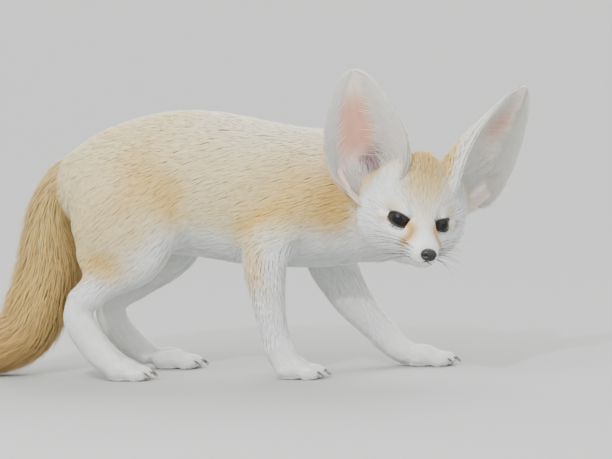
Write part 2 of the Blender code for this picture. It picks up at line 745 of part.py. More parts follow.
def drawn_locks(axis):
    """Where each lock stands and what size it is: distance, angle, size and bend, ring after ring."""
    draw = random.Random(SEED)
    locks = []
    for ring in range(int((axis.length - BARE_TIP) / LOCK_SPACING)):
        for k in range(LOCKS_IN_RING):
            place = k + ring % 2 / 2 + draw.uniform(-LOCK_STRAYS, LOCK_STRAYS)
            distance = FIRST_RING + LOCK_SPACING * (ring + draw.uniform(0, LOCK_STAGGER))
            narrowing = max(LEAST_LOCK, min(1, axis.size_at(distance)[1][0] / FULL_TAIL))
            length, width, thickness = draw.choice(LOCK_SIZES)
            length *= 1 + draw.uniform(-LOCK_LENGTH_VARIES, LOCK_LENGTH_VARIES)
            bend = draw.uniform(-LOCK_BENDS, LOCK_BENDS)
            size = (length, width * narrowing, thickness)
            locks.append((distance, 2 * math.pi * place / LOCKS_IN_RING, size, bend))
    return locks


def furred_length(axis, locks, start, end, more, collection):
    """One length of the tail's core with the locks that stand on it, fused into one."""
    rows = []
    for k in range(TAIL_SPANS + 1):
        middle, size = axis.size_at(start - more + (end - start - GAP + 2 * more) * k / TAIL_SPANS)
        rows.append((*middle, *(TAIL_CORE * radius + more for radius in size)))
    forward = Vector((1, 0, 0))
    whole = loft("tail_form", rows, collection, steps=1, sides=TAIL_SIDES, upward=forward)
    pieces = new_collection("locks")
    for lock in locks:
        tail_lock(axis, *lock, more, pieces)
    modifier = whole.modifiers.new("fuse", "BOOLEAN")
    modifier.operation = "UNION"
    modifier.operand_type = "COLLECTION"
    modifier.collection = pieces
    modifier.solver = "MANIFOLD"
    apply_modifiers(whole)
    for obj in list(pieces.objects):
        bpy.data.objects.remove(obj)
    bpy.data.collections.remove(pieces)
    return whole


def tail_lengths(nodes, work, fox):
    """The tail's lengths, each clear of the flesh, the floor and the length before it."""
    axis = TailAxis()
    locks = drawn_locks(axis)
    flesh = ("torso", "thigh_right", "thigh_left", "shank_right", "shank_left")
    clear_of = [grown(nodes[name], TAIL_CLEARANCE, work) for name in flesh] + [floor_cutter(work)]
    start = 0
    for name, end in TAIL_LENGTHS:
        end = min(end, axis.length)
        own = [lock for lock in locks if start <= lock[0] < end]
        shape = (axis, own, start, end)
        node = furred_length(*shape, 0, fox)
        node.name = name
        for cutter in clear_of:
            boolean(node, "DIFFERENCE", cutter, solver="MANIFOLD")
        keep_largest(node)
        clear_of.append(hidden(furred_length(*shape, GAP, work)))
        start = end


def give_material(obj, name, colour, roughness):
    material = bpy.data.materials.new(obj.name + "_" + name)
    material.use_nodes = True
    shader = material.node_tree.nodes["Principled BSDF"]
    shader.inputs["Base Color"].default_value = (*colour, 1)
    shader.inputs["Roughness"].default_value = roughness
    shader.inputs["Metallic"].default_value = 0
    obj.data.materials.clear()
    obj.data.materials.append(material)


def box_middle(objects):
    """The point on the floor under the middle of the box round all the objects."""
    points = [vert.co for obj in objects for vert in obj.data.vertices]
    low = [min(point[axis] for point in points) for axis in (0, 1)]
    high = [max(point[axis] for point in points) for axis in (0, 1)]
    return Vector(((low[0] + high[0]) / 2, (low[1] + high[1]) / 2, 0))


def finish(fox):
    middle = box_middle(fox.objects)
    for obj in list(fox.objects):
        obj.data.transform(Matrix.Translation(-middle))
        bm = bmesh.new()
        bm.from_mesh(obj.data)
        bmesh.ops.remove_doubles(bm, verts=bm.verts, dist=1e-6)
        bmesh.ops.dissolve_degenerate(bm, edges=bm.edges, dist=1e-6)
        bmesh.ops.triangulate(bm, faces=bm.faces)
        bmesh.ops.recalc_face_normals(bm, faces=bm.faces)
        bm.to_mesh(obj.data)
        bm.free()
        kind = obj.name.split("_")[0]
        give_material(obj, *FINISHES.get(kind, FINISHES["flesh"]))


def main():
    clear_scene()
    work = new_collection("work")
    fox = new_collection("fennec_fox")
    source = hidden(joined("forms", flesh_forms(work), work))
    skins = {
        "smooth": blended("smooth_skin", source, SMOOTHING, work),
        "detailed": blended("detailed_skin", source, DETAIL_SMOOTHING, work),
    }
    nodes = part_skins(skins, work, fox)
    for side in ("right", "left"):
        ear(side, nodes, work, fox)
        for paw in ("forepaw_", "hindpaw_"):
            boolean(nodes[paw + side], "UNION", hidden(claws(paw + side, work)))
    finish_head(nodes["head"], work, fox)
    tail_lengths(nodes, work, fox)
    for obj in list(work.objects):
        bpy.data.objects.remove(obj)
    finish(fox)


main()
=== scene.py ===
"""The looks of the fennec fox: one skin with its coat of tufts, the ears, eyes, nose, claws and whiskers.

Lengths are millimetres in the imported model's frame, which MM turns into metres. The tables of the
head, the ears, the paws and the tail are the source's own, from a point on the floor under the body,
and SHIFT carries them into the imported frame.
"""

import math

import bmesh
import bpy
import numpy as np
from mathutils import Matrix, Quaternion, Vector
from mathutils.bvhtree import BVHTree
from mathutils.kdtree import KDTree

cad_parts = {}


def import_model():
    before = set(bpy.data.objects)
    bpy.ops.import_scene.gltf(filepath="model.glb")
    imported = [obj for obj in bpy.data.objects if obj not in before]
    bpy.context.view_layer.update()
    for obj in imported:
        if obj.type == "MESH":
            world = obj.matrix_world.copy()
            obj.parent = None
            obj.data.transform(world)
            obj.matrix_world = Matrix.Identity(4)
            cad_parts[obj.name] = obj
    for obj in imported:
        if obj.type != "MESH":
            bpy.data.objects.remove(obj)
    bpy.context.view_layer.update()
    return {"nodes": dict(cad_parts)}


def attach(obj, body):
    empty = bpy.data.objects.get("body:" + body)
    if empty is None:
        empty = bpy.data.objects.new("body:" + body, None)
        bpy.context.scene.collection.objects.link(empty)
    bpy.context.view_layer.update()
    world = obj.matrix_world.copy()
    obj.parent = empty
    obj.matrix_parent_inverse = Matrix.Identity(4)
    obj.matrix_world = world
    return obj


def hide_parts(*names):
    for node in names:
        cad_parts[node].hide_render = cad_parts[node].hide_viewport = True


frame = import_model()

MM = 0.001
draw = np.random.default_rng(11)

# Places and sizes from the source.
HEAD_TURN, HEAD_PITCH, HEAD_ROLL = -69, 13.5, -10
EYES_MIDDLE, EYES_FROM_SKULL = (106, -72, 133), (32, 0, 3)
EYE_RADIUS, EYE_AT, EYE_LOOKS = 10.5, (24.5, 15.3, 2), (0.81, 0.55, 0.12)
EYE_SLANT = {"right": 15, "left": 5}
# The eye's opening over the eyeball, in arc millimetres outward and upward of the way that it looks: its
# middle and half size, and the half widths of its outer and inner part and heights of its lids.
LID_RADIUS = EYE_RADIUS + 0.6
OPENING_MIDDLE, OPENING_HALF = (-1.0, -0.4), (12.2, 4.9)
OPENING_WIDE, OPENING_HIGH, CORNER_DROOP = (11.2, 14.2), (4.7, 4.4), 2.6
NOSE_AT, NOSE_HALF = (67.5, 0, -13.5), (5.5, 6.8, 5.2)
MOUTH = [(66, 0, -19.5), (63, 4, -21.5), (56, 9, -22), (46, 13, -22.5), (37, 17, -22)]
EAR_ROOT = {"right": (-8, -33, 20), "left": (-8, 35, 22)}
EAR_TIP = {"right": (-12, -70, 110), "left": (-8, 77, 117)}
EAR_OPENS_OUT = {"right": 20, "left": 33}
EAR = [
    (-0.16, 30, 126),
    (0.0, 48, 115),
    (0.15, 61, 99),
    (0.32, 68, 80),
    (0.5, 65, 64),
    (0.68, 54, 52),
    (0.84, 39, 43),
    (0.94, 27, 37),
    (1.0, 14, 32),
    (1.025, 4, 30),
]
PAW_HEEL = {
    "forepaw_right": (-26, -38, 0),
    "forepaw_left": (74, 37, 0),
    "hindpaw_right": (-172, -37, 0),
    "hindpaw_left": (-146, 37, 0),
}
PAW_LENGTH = {"forepaw_right": 45, "forepaw_left": 48, "hindpaw_right": 43, "hindpaw_left": 48}
PAW_HALF_WIDTH = {"forepaw": 13.5, "hindpaw": 12.5}
TOE_HALF, TOE_SINKS = (9, 4.6, 6.4), 0.7
TOES = [(-0.75, 0.89), (-0.25, 1.0), (0.25, 1.0), (0.75, 0.89)]
CLAW_START, CLAW_LENGTH, CLAW_DROOP, CLAW_RADIUS = (5, 0, 1.5), 8, 4.5, 1.3
TAIL = [
    (-192, 0, 184, 14, 14, 14),
    (-208, 0, 170, 19, 18, 18),
    (-219, 0, 148, 23, 22, 23),
    (-223, 0, 122, 27, 34, 29),
    (-225, 0, 94, 29, 40, 33),
    (-235, 0, 64, 30, 36, 33),
    (-249, 0, 37, 28, 32, 31),
    (-282, 0, 22, 24, 26, 24),
    (-318, 0, 14, 16, 16, 14),
    (-346, 0, 7, 5, 5, 5),
]

SIDES = ("right", "left")
LIMBS = ("foreleg", "forepaw", "thigh", "shank", "hindpaw")
FLESH = ["head", "neck", "torso"] + [part + "_" + side for part in LIMBS for side in SIDES]
TAIL_NODES = ["tail_root", "tail_upper", "tail_bend", "tail_end"]

# The coat of each part: its depth over the skin, the length and width of its tufts, how many stand
# on a square centimetre, and how much of the skin's smoothing it takes.
COAT = {
    "head": dict(depth=2.6, length=8, width=0.6, dense=80, smooth=0.3),
    "neck": dict(depth=4.5, length=20, width=0.95, dense=60, smooth=1.0),
    "torso": dict(depth=2.7, length=16, width=0.95, dense=46, smooth=1.0),
    "thigh": dict(depth=2.6, length=14, width=0.95, dense=46, smooth=1.0),
    "foreleg": dict(depth=2.0, length=9, width=0.75, dense=48, smooth=0.4),
    "shank": dict(depth=1.8, length=8, width=0.75, dense=48, smooth=0.4),
    "forepaw": dict(depth=1.0, length=5.0, width=0.6, dense=62, smooth=0.04),
    "hindpaw": dict(depth=1.0, length=5.5, width=0.6, dense=58, smooth=0.05),
    "tail": dict(depth=0.5, length=10, width=1.0, dense=0, smooth=0.6),
}
SKIN_VOXEL, FLESH_GROWTH, SMOOTHING_ROUNDS = 1.45, 0.4, 90

# Colours, linear.
WHITE = (0.87, 0.87, 0.85)
CREAM = (0.82, 0.71, 0.44)
BUFF = (0.78, 0.60, 0.28)
GOLD = (0.72, 0.46, 0.135)
RUST = (0.50, 0.27, 0.11)
TAIL_BUFF = (0.64, 0.44, 0.155)
TAIL_BROWN = (0.47, 0.26, 0.08)
TAIL_BLACK = (0.06, 0.045, 0.035)
LID_BLACK = (0.015, 0.011, 0.010)
EAR_WHITE, EAR_MARGIN, EAR_RIM = (0.86, 0.83, 0.78), (0.84, 0.82, 0.78), (0.84, 0.80, 0.75)
# The far (left) ear's inside is its own colour made lighter: painted light for the light that shines through
# that ear.
EAR_INSIDE = {"right": (0.80, 0.70, 0.63), "left": (0.86, 0.79, 0.73)}
EAR_PINK, POCKET_PINK = (0.68, 0.36, 0.26), (0.66, 0.38, 0.28)
# Painted shade in the ear's hollows: its canal and the near ear's slit on the skin, and the slit's shadow on
# the hair over it.
CANAL_PAINTED_SHADE, SLIT_PAINTED_SHADE, SLIT_SHADOW = (0.22, 0.11, 0.12), (0.20, 0.10, 0.12), (0.30, 0.17, 0.19)


def unit(v):
    """The vectors at length 1."""
    return v / np.maximum(np.linalg.norm(v, axis=-1, keepdims=True), 1e-9)


def smooth(x, low=0.0, high=1.0):
    """0 up to low, 1 from high on, with a soft step between them."""
    t = np.clip((x - low) / (high - low), 0, 1)
    return t * t * (3 - 2 * t)


def across(v, normals):
    """What is left of the vectors in the plane across the normals, at length 1."""
    return unit(v - normals * (v * normals).sum(-1, keepdims=True))


def blob(points, middle, half, soft=1.0):
    """1 at the middle of an ellipsoid, falling to 0 at its surface."""
    return smooth(1 - np.linalg.norm((points - middle) / half, axis=-1), 0, soft)


def stroke(points, line, half):
    """1 along a line of points, falling to 0 at half its width."""
    nearest = np.full(len(points), np.inf)
    for a, b in zip(np.array(line[:-1], float), np.array(line[1:], float)):
        share = np.clip((points - a) @ (b - a) / ((b - a) @ (b - a)), 0, 1)
        nearest = np.minimum(nearest, np.linalg.norm(points - a - share[:, None] * (b - a), axis=1))
    return smooth(1 - nearest / half)


def on_curve(rows, steps):
    """The rows with steps - 1 more in each span, on a smooth curve through them all."""
    rows = np.array(rows, float)
    last = len(rows) - 1
    made = []
    for i in range(last):
        a, b, c, d = (rows[max(0, min(last, i + k))] for k in (-1, 0, 1, 2))
        for t in np.arange(steps) / steps:
            square, cube = 2 * a - 5 * b + 4 * c - d, 3 * b - a - 3 * c + d
            made.append((2 * b + (c - a) * t + square * t**2 + cube * t**3) / 2)
    made.append(rows[last])
    return np.array(made)


def points_of(mesh):
    co = np.zeros(len(mesh.vertices) * 3)
    mesh.vertices.foreach_get("co", co)
    return co.reshape(-1, 3)


def node_middle(name):
    return points_of(frame["nodes"][name].data).mean(0) / MM


HEAD_AXES = np.array(
    Matrix.Rotation(math.radians(HEAD_TURN), 3, "Z")
    @ Matrix.Rotation(math.radians(HEAD_PITCH), 3, "Y")
    @ Matrix.Rotation(math.radians(HEAD_ROLL), 3, "X")
)
SKULL = (node_middle("eye_right") + node_middle("eye_left")) / 2 - HEAD_AXES @ (EYE_AT[0], 0, EYE_AT[2])
SHIFT = SKULL - (np.array(EYES_MIDDLE) - HEAD_AXES @ EYES_FROM_SKULL)


def head_point(point):
    return SKULL + np.asarray(point, float) @ HEAD_AXES.T


def head_local(points):
    return (points - SKULL) @ HEAD_AXES


def mirrored(vector, side):
    return np.array((vector[0], vector[1] if side == "left" else -vector[1], vector[2]), float)


# Objects, and meshes from arrays.


def linked(name, data):
    obj = bpy.data.objects.new(name, data)
    bpy.context.scene.collection.objects.link(obj)
    return obj


def mesh_object(name, points, loops, paint, slot, replaces=(), colours=None, sizes=None):
    """A smooth-shaded piece on the body, of quads unless sizes gives its faces' corners. points are in mm."""
    loops = np.asarray(loops).ravel()
    sizes = np.full(len(loops) // 4, 4) if sizes is None else sizes
    mesh = bpy.data.meshes.new(name)
    mesh.vertices.add(len(points))
    mesh.vertices.foreach_set("co", (points * MM).astype(np.float32).ravel())
    mesh.loops.add(len(loops))
    mesh.loops.foreach_set("vertex_index", loops.astype(np.int32))
    mesh.polygons.add(len(sizes))
    mesh.polygons.foreach_set("loop_start", np.concatenate(([0], np.cumsum(sizes)[:-1])).astype(np.int32))
    mesh.update(calc_edges=True)
    mesh.shade_smooth()
    if colours is not None:
        layer = mesh.color_attributes.new("coat", "FLOAT_COLOR", "POINT")
        rgba = np.ones((len(points), 4), np.float32)
        rgba[:, :3] = colours
        layer.data.foreach_set("color", rgba.ravel())
    mesh.materials.append(paint)
    obj = linked(name, mesh)
    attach(obj, "root")
    if replaces:
        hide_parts(*replaces)
    return obj


def grid_loops(rows, columns, round_way=False, start=0):
    """The corners of the quads of a grid of points, row after row."""
    i = np.arange(rows - 1)[:, None] * columns
    k = np.arange(columns if round_way else columns - 1)[None, :]
    following = (k + 1) % columns
    quads = np.stack([i + k, i + following, i + columns + following, i + columns + k], -1)
    return (quads.reshape(-1, 4) + start).ravel()


def tube(points, radii, sides):
    """Points and quads of a tube along a line of points."""
    points = np.asarray(points, float)
    ahead = unit(np.roll(points, -1, 0) - np.roll(points, 1, 0))
    ahead[0], ahead[-1] = unit(points[1] - points[0]), unit(points[-1] - points[-2])
    spare = np.where(np.abs(ahead[:, 2:]) < 0.9, [[0.0, 0.0, 1.0]], [[1.0, 0.0, 0.0]])
    side = unit(np.cross(spare, ahead))
    up = np.cross(ahead, side)
    angle = 2 * np.pi * np.arange(sides) / sides
    ring = side[:, None] * np.cos(angle)[None, :, None] + up[:, None] * np.sin(angle)[None, :, None]
    made = points[:, None] + ring * np.broadcast_to(radii, len(points))[:, None, None]
    return made.reshape(-1, 3), grid_loops(len(points), sides, round_way=True)


def joined(parts):
    """One set of points and quads from several."""
    points, loops, start = [], [], 0
    for part_points, part_loops in parts:
        points.append(part_points)
        loops.append(part_loops + start)
        start += len(part_points)
    return np.concatenate(points), np.concatenate(loops)


def ball(middle, half, rows, columns, axes=np.eye(3)):
    """Points and quads of an ellipsoid whose pole is its own X axis."""
    polar, angle = np.meshgrid(
        np.linspace(0.001, np.pi - 0.001, rows), 2 * np.pi * np.arange(columns) / columns, indexing="ij"
    )
    shape = np.stack([np.cos(polar), np.sin(polar) * np.cos(angle), np.sin(polar) * np.sin(angle)], -1)
    points = middle + (shape.reshape(-1, 3) * half) @ np.asarray(axes).T
    return points, grid_loops(rows, columns, round_way=True)


# Materials.


def material(name, colour, roughness, specular=0.5, sheen=0.0, soft=0.0, attribute=None, bump=None):
    """A Principled material. bump is a noise's scale, strength and height; attribute colours it.

    soft is how much of the light goes on under its surface.
    """
    made = bpy.data.materials.new(name)
    made.use_nodes = True
    nodes, links = made.node_tree.nodes, made.node_tree.links
    shader = nodes["Principled BSDF"]
    values = {"Base Color": (*colour, 1), "Roughness": roughness, "Specular IOR Level": specular}
    values |= {"Sheen Weight": sheen, "Sheen Roughness": 0.5, "Subsurface Weight": soft}
    values |= {"Subsurface Radius": (1.0, 0.8, 0.6), "Subsurface Scale": 2 * MM}
    for socket, value in values.items():
        shader.inputs[socket].default_value = value
    if attribute:
        layer = nodes.new("ShaderNodeAttribute")
        layer.attribute_name = attribute
        links.new(layer.outputs["Color"], shader.inputs["Base Color"])
    if bump:
        scale, strength, distance = bump
        place = nodes.new("ShaderNodeTexCoord")
        noise = nodes.new("ShaderNodeTexNoise")
        noise.inputs["Scale"].default_value = scale
        noise.inputs["Detail"].default_value = 3
        height = nodes.new("ShaderNodeBump")
        height.inputs["Strength"].default_value = strength
        height.inputs["Distance"].default_value = distance * MM
        links.new(place.outputs["Object"], noise.inputs["Vector"])
        links.new(noise.outputs["Fac"], height.inputs["Height"])
        links.new(height.outputs["Normal"], shader.inputs["Normal"])
    return made


COAT_FUR = material("coat_fur", CREAM, 0.75, specular=0.22, sheen=0.14, soft=0.35, attribute="coat")
SKIN = material("fur_skin", CREAM, 0.9, specular=0.15, attribute="coat", bump=(900, 0.5, 0.6))


# The skin.


class TailAxis:
    """The tail's middle line and its size at any distance from its root."""

    def __init__(self):
        self.rows = on_curve(TAIL, 8)
        self.rows[:, :3] += SHIFT
        steps = np.linalg.norm(np.diff(self.rows[:, :3], axis=0), axis=1)
        self.distances = np.concatenate(([0], np.cumsum(steps)))
        self.length = self.distances[-1]

    def row(self, distance):
        """The middle, and the half width and the heights over and under it."""
        row = [np.interp(distance, self.distances, self.rows[:, k]) for k in range(6)]
        return np.stack(row[:3], -1), row[3:]

    def at(self, distance, angle, share):
        """Points at a share of the way out to the fur's tips, and the ways ahead and out there."""
        middle, (wide, over, under) = self.row(distance)
        beyond = 4.0
        ahead = unit(self.row(distance + beyond)[0] - self.row(distance - beyond)[0])
        middle = middle + ahead * np.clip(distance - self.length, 0, None)[..., None]
        side = unit(np.cross([1.0, 0.0, 0.0], ahead))
        up = np.cross(ahead, side)
        rise = np.where(np.sin(angle) > 0, over, under)
        out = side * (wide * np.cos(angle))[..., None] + up * (rise * np.sin(angle))[..., None]
        return middle + out * np.asarray(share)[..., None], ahead, unit(out)


TAIL_AXIS = TailAxis()
TAIL_CORE = 0.42


def tail_core(bm):
    """Adds the tail's core to the bmesh, from inside the rump to just short of the tip."""
    sides = 24
    distance, angle = np.meshgrid(
        np.linspace(-2, TAIL_AXIS.length - 4, 60), 2 * np.pi * np.arange(sides) / sides, indexing="ij"
    )
    points = TAIL_AXIS.at(distance, angle, np.full(distance.shape, TAIL_CORE))[0]
    rings = [[bm.verts.new(Vector(point) * MM) for point in ring] for ring in points]
    for a, b in zip(rings, rings[1:]):
        for k in range(sides):
            bm.faces.new((a[k - 1], a[k], b[k], b[k - 1]))
    bm.faces.new(rings[0])
    bm.faces.new(rings[-1])


def toe_middles(paw):
    half_width = PAW_HALF_WIDTH[paw.split("_")[0]]
    for aside, reach in TOES:
        x = PAW_LENGTH[paw] * reach - TOE_HALF[0]
        yield SHIFT + PAW_HEEL[paw] + (x, aside * half_width, TOE_HALF[2] - TOE_SINKS)


def evaluated(obj):
    bpy.context.view_layer.update()
    return bpy.data.meshes.new_from_object(obj.evaluated_get(bpy.context.evaluated_depsgraph_get()))


def closed_flesh():
    """The flesh nodes grown over the gaps between them, with the tail's core, as points and quads."""
    bm = bmesh.new()
    for name in FLESH:
        bm.from_mesh(frame["nodes"][name].data)
    bmesh.ops.remove_doubles(bm, verts=bm.verts, dist=1e-6)
    bmesh.ops.recalc_face_normals(bm, faces=bm.faces)
    mesh = bpy.data.meshes.new("flesh")
    bm.to_mesh(mesh)
    bm.free()
    obj = linked("flesh", mesh)
    grow = obj.modifiers.new("grow", "DISPLACE")
    grow.strength = FLESH_GROWTH * MM
    grow.mid_level = 0
    mesh = evaluated(obj)
    obj.modifiers.clear()
    bm = bmesh.new()
    bm.from_mesh(mesh)
    tail_core(bm)
    bmesh.ops.recalc_face_normals(bm, faces=bm.faces)
    bm.to_mesh(mesh)
    bm.free()
    obj.data = mesh
    remesh = obj.modifiers.new("remesh", "REMESH")
    remesh.mode = "VOXEL"
    remesh.voxel_size = SKIN_VOXEL * MM
    mesh = evaluated(obj)
    bpy.data.objects.remove(obj)
    quads = np.zeros(len(mesh.loops), int)
    mesh.loops.foreach_get("vertex_index", quads)
    return points_of(mesh) / MM, quads.reshape(-1, 4)


def part_labels(points):
    """The index of the flesh node, or of the tail, that each point is nearest to."""
    names = FLESH + TAIL_NODES
    corners, faces, owners = [], [], []
    for label, name in enumerate(names):
        mesh = frame["nodes"][name].data
        start = len(corners)
        corners += [vertex.co / MM for vertex in mesh.vertices]
        faces += [[start + k for k in face.vertices] for face in mesh.polygons]
        owners += [label] * len(mesh.polygons)
    tree = BVHTree.FromPolygons(corners, faces)
    owners = np.array(owners)
    return owners[[tree.find_nearest(point)[2] for point in points]], names


class Skin:
    """The skin's points and quads, with fields of values at its points that spread over it."""

    def __init__(self):
        self.points, self.quads = closed_flesh()
        edges = np.concatenate([self.quads[:, [k, (k + 1) % 4]] for k in range(4)])
        edges = np.unique(np.sort(edges, 1), axis=0)
        self.ends = edges.T
        self.degree = np.bincount(self.ends.ravel(), minlength=len(self.points))[:, None]
        self.labels, self.names = part_labels(self.points)
        self.kinds = np.array([name.split("_")[0] for name in self.names])[self.labels]

    def neighbours(self, values):
        """Each point's mean of its neighbours' values."""
        a, b = self.ends
        made = np.empty_like(values)
        for k in range(values.shape[1]):
            total = np.bincount(a, values[b, k], len(values)) + np.bincount(b, values[a, k], len(values))
            made[:, k] = total / self.degree[:, 0]
        return made

    def spread(self, values, rounds, share=1.0):
        """The values after rounds of smoothing over the skin."""
        for _ in range(rounds):
            values = values + (self.neighbours(values) - values) * 0.6 * share
        return values

    def normals(self):
        corners = self.points[self.quads]
        face = np.cross(corners[:, 2] - corners[:, 0], corners[:, 3] - corners[:, 1])
        made = np.zeros_like(self.points)
        for k in range(4):
            for axis in range(3):
                made[:, axis] += np.bincount(self.quads[:, k], face[:, axis], len(made))
        return unit(made)

    def per_kind(self, key):
        return np.array([COAT[kind][key] for kind in self.kinds], float)[:, None]


skin = Skin()


def pull_in_claws():
    """Draws the claws' share of the flesh back to the tips of the toes."""
    past_toe = 1.08
    for paw in PAW_HEEL:
        for middle in toe_middles(paw):
            away = (skin.points - middle) / TOE_HALF
            reach = np.linalg.norm(away, axis=1)
            near = (np.abs(skin.points - middle) < (18, 3.6, 9)).all(1)
            claw = near & (away[:, 0] > 0.45) & (reach > past_toe)
            skin.points[claw] = middle + away[claw] / reach[claw, None] * TOE_HALF * past_toe


pull_in_claws()
skin.points = skin.spread(skin.points, SMOOTHING_ROUNDS, skin.per_kind("smooth"))
OUTER = skin.points.copy()
NORMALS = skin.normals()
LOCAL = head_local(OUTER)
is_head = skin.kinds == "head"


def eye_middle(side):
    return mirrored(EYE_AT, side)


def near_eyes(local):
    """How far each point is from the nearer eye's middle, in the head's own frame."""
    return np.minimum(*(np.linalg.norm(local - eye_middle(side), axis=1) for side in SIDES))


def head_shares(local):
    """How much of the muzzle, the cheeks and the crown each point of the head has."""
    x, y, z = local.T
    muzzle = smooth(x, 26, 50)
    cheek = smooth(np.abs(y), 16, 34) * smooth(-x, -34, -6) * smooth(-z, -22, 2)
    crown = smooth(-x, -22, 4) * smooth(z, 22, 40) * smooth(-np.abs(y), -26, -8)
    return muzzle, cheek, crown


MUZZLE, CHEEK, CROWN = head_shares(LOCAL)
EYE_GAP = near_eyes(LOCAL)


def ear_ends(side):
    return np.array(EAR_ROOT[side], float), np.array(EAR_TIP[side], float)


def lie_of_coat():
    """The way the hair lies at each point of the skin."""
    x, y, z = (OUTER - SHIFT).T
    flank = smooth(np.abs(NORMALS[:, 1]), 0.3, 0.9)
    low = smooth(-NORMALS[:, 2], 0.2, 0.8)
    chest = smooth(x, 20, 60) * smooth(-NORMALS[:, 2] + NORMALS[:, 0], 0, 0.9)
    on_toes, falls = smooth(-z, -26, -8), -0.4 - smooth(z, 8, 24)
    ways = {
        "torso": (-1, 0, -0.38 * flank * (1 - low) - 0.9 * chest),
        "neck": (-1, 0.3, -0.25 * flank - chest),
        "thigh": (-0.75, 0, -0.65),
        "shank": (-0.72, 0, -0.7),
        "foreleg": (np.where(y > 0, 0.5, 0.05), 0, -1),
        "forepaw": (on_toes + 0.25, 0, falls),
        "hindpaw": (on_toes + 0.3, 0, falls),
        "tail": (-0.3, 0, -1),
    }
    lie = np.zeros_like(OUTER)
    for kind, way in ways.items():
        chosen = skin.kinds == kind
        lie[chosen] = unit(np.stack(np.broadcast_arrays(*way, x)[:3], -1))[chosen]
    on_head = unit(LOCAL - (78, 0, -16))
    on_head[:, 2] -= 0.35 * CHEEK
    for side in SIDES:
        from_eye = LOCAL - eye_middle(side)
        gap = np.linalg.norm(from_eye, axis=1)
        near = smooth(-gap, -21, -11) * smooth(20 - LOCAL[:, 0] + gap, 0, 6)
        on_head += 1.6 * unit(from_eye) * near[:, None]
    for side in SIDES:
        root, tip = ear_ends(side)
        near = smooth(-np.linalg.norm(LOCAL - root - 0.1 * (tip - root), axis=1), -34, -14)
        on_head += 1.5 * unit(tip - root) * near[:, None]
    lie[is_head] = (unit(on_head) @ HEAD_AXES.T)[is_head]
    return across(skin.spread(across(lie, NORMALS), 25), NORMALS)


LIE = lie_of_coat()


def coat_values():
    """Depth, length, width and density of the coat at each point, as four columns."""
    values = np.concatenate([skin.per_kind(key) for key in ("depth", "length", "width", "dense")], 1)
    head = values + 0
    for goal, share in (
        ((0.8, 3.2, 0.45, 110), MUZZLE),
        ((4.0, 15, 0.75, 75), CHEEK),
        ((3.0, 11, 0.5, 85), CROWN),
        ((2.6, 21, 0.8, 80), EAR_NEAR),
    ):
        head += (np.array(goal) - head) * share[:, None]
    head[:, 1] -= 12 * EAR_NEAR * BEFORE_RIGHT_EAR
    head += (np.array((0.7, 3.0, 0.45, 110)) - head) * smooth(-EYE_GAP, -19, -12)[:, None]
    values[is_head] = head[is_head]
    z = (OUTER - SHIFT)[:, 2]
    leg = np.isin(skin.kinds, ("foreleg", "shank"))
    values[leg] += (np.array((1.6, 4.5, 0.2, 0)) * smooth(z, 60, 110)[:, None])[leg]
    values = skin.spread(values, 14)
    sole = (NORMALS[:, 2] < -0.75) & (z < 2.5)
    values[sole, 0] = 0
    return values


def ear_gap(local):
    """How far each point is from the nearer ear's root."""
    gaps = []
    for side in SIDES:
        root, tip = ear_ends(side)
        share = np.clip((local - root) @ (tip - root) / ((tip - root) @ (tip - root)), -0.1, 0.3)
        gaps.append(np.linalg.norm(local - root - share[:, None] * (tip - root), axis=1))
    return np.minimum(*gaps)


# FLARE is how far the tufts' tips stand off past the coat's depth: round the ears, on the cheeks and
# on the crown.
EAR_NEAR = smooth(-ear_gap(LOCAL), -30, -14) * is_head
BEFORE_RIGHT_EAR = smooth(LOCAL[:, 0], -16, -4) * (LOCAL[:, 1] < 0)
FLARE = (1.0 + 3.0 * smooth(LOCAL[:, 0], -14, 0) * (1 - BEFORE_RIGHT_EAR)) * EAR_NEAR
FLARE += 8.0 * blob(LOCAL, (2, 40, -6), (34, 34, 44)) * is_head
FLARE += 2.0 * blob(LOCAL, (-6, -36, -10), (26, 24, 28)) * is_head
FLARE += 6.0 * blob(LOCAL, (10, 0, 48), (22, 20, 20))
VALUES = coat_values()


def mixed(colours, colour, share):
    """The colours with a share of another one in them."""
    return colours + (np.asarray(colour) - colours) * np.clip(share, 0, 1)[:, None]


def plain(colour, count):
    return np.tile(np.array(colour, float), (count, 1))


def grain(points, wave, seed):
    """A smooth noise from a few crossing waves, from -1 to 1."""
    local = np.random.default_rng(seed)
    total = np.zeros(len(points))
    for _ in range(6):
        way = unit(local.normal(size=3))
        total += np.sin(points @ way * 2 * np.pi / (wave * local.uniform(0.7, 1.5)) + local.uniform(0, 7))
    return total / 3


# Patches of fur in another colour, and one of painted shade: colour, strength, then the middle and half size
# of a blob, or the points and half width of a stroke. Those of the flanks and of the face lie on both sides.
FLANK_PATCHES = [
    (BUFF, 0.75, (-150, 45, 145), (80, 60, 66)),
    (GOLD, 0.8, (-126, 45, 172), (50, 60, 42)),
    (GOLD, 1.0, (-108, 45, 154), (24, 50, 34)),
    (BUFF, 1.2, (-20, 45, 156), (60, 60, 50)),
    (GOLD, 1.3, (-18, 45, 143), (42, 50, 18)),
    (GOLD, 0.6, (0, 45, 160), (36, 50, 44)),
]
SHOULDER_PATCHES = [(GOLD, 1.7, (32, -50, 148), (30, 50, 42)), (GOLD, 1.4, (50, 44, 150), (34, 50, 50))]
THIGH_PATCHES = [
    (WHITE, 1.5, (-106, -50, 110), (38, 50, 33)),
    (WHITE, 1.4, (-92, 50, 124), (40, 50, 44)),
    (GOLD, 1.3, (-162, -46, 101), (36, 34, 20)),
    (GOLD, 1.3, (-140, 46, 97), (36, 34, 20)),
]
EYE_STREAK = [(38, 10, 1), (43, 9.5, -1), (46, 11.5, -5), (44, 15, -10)]
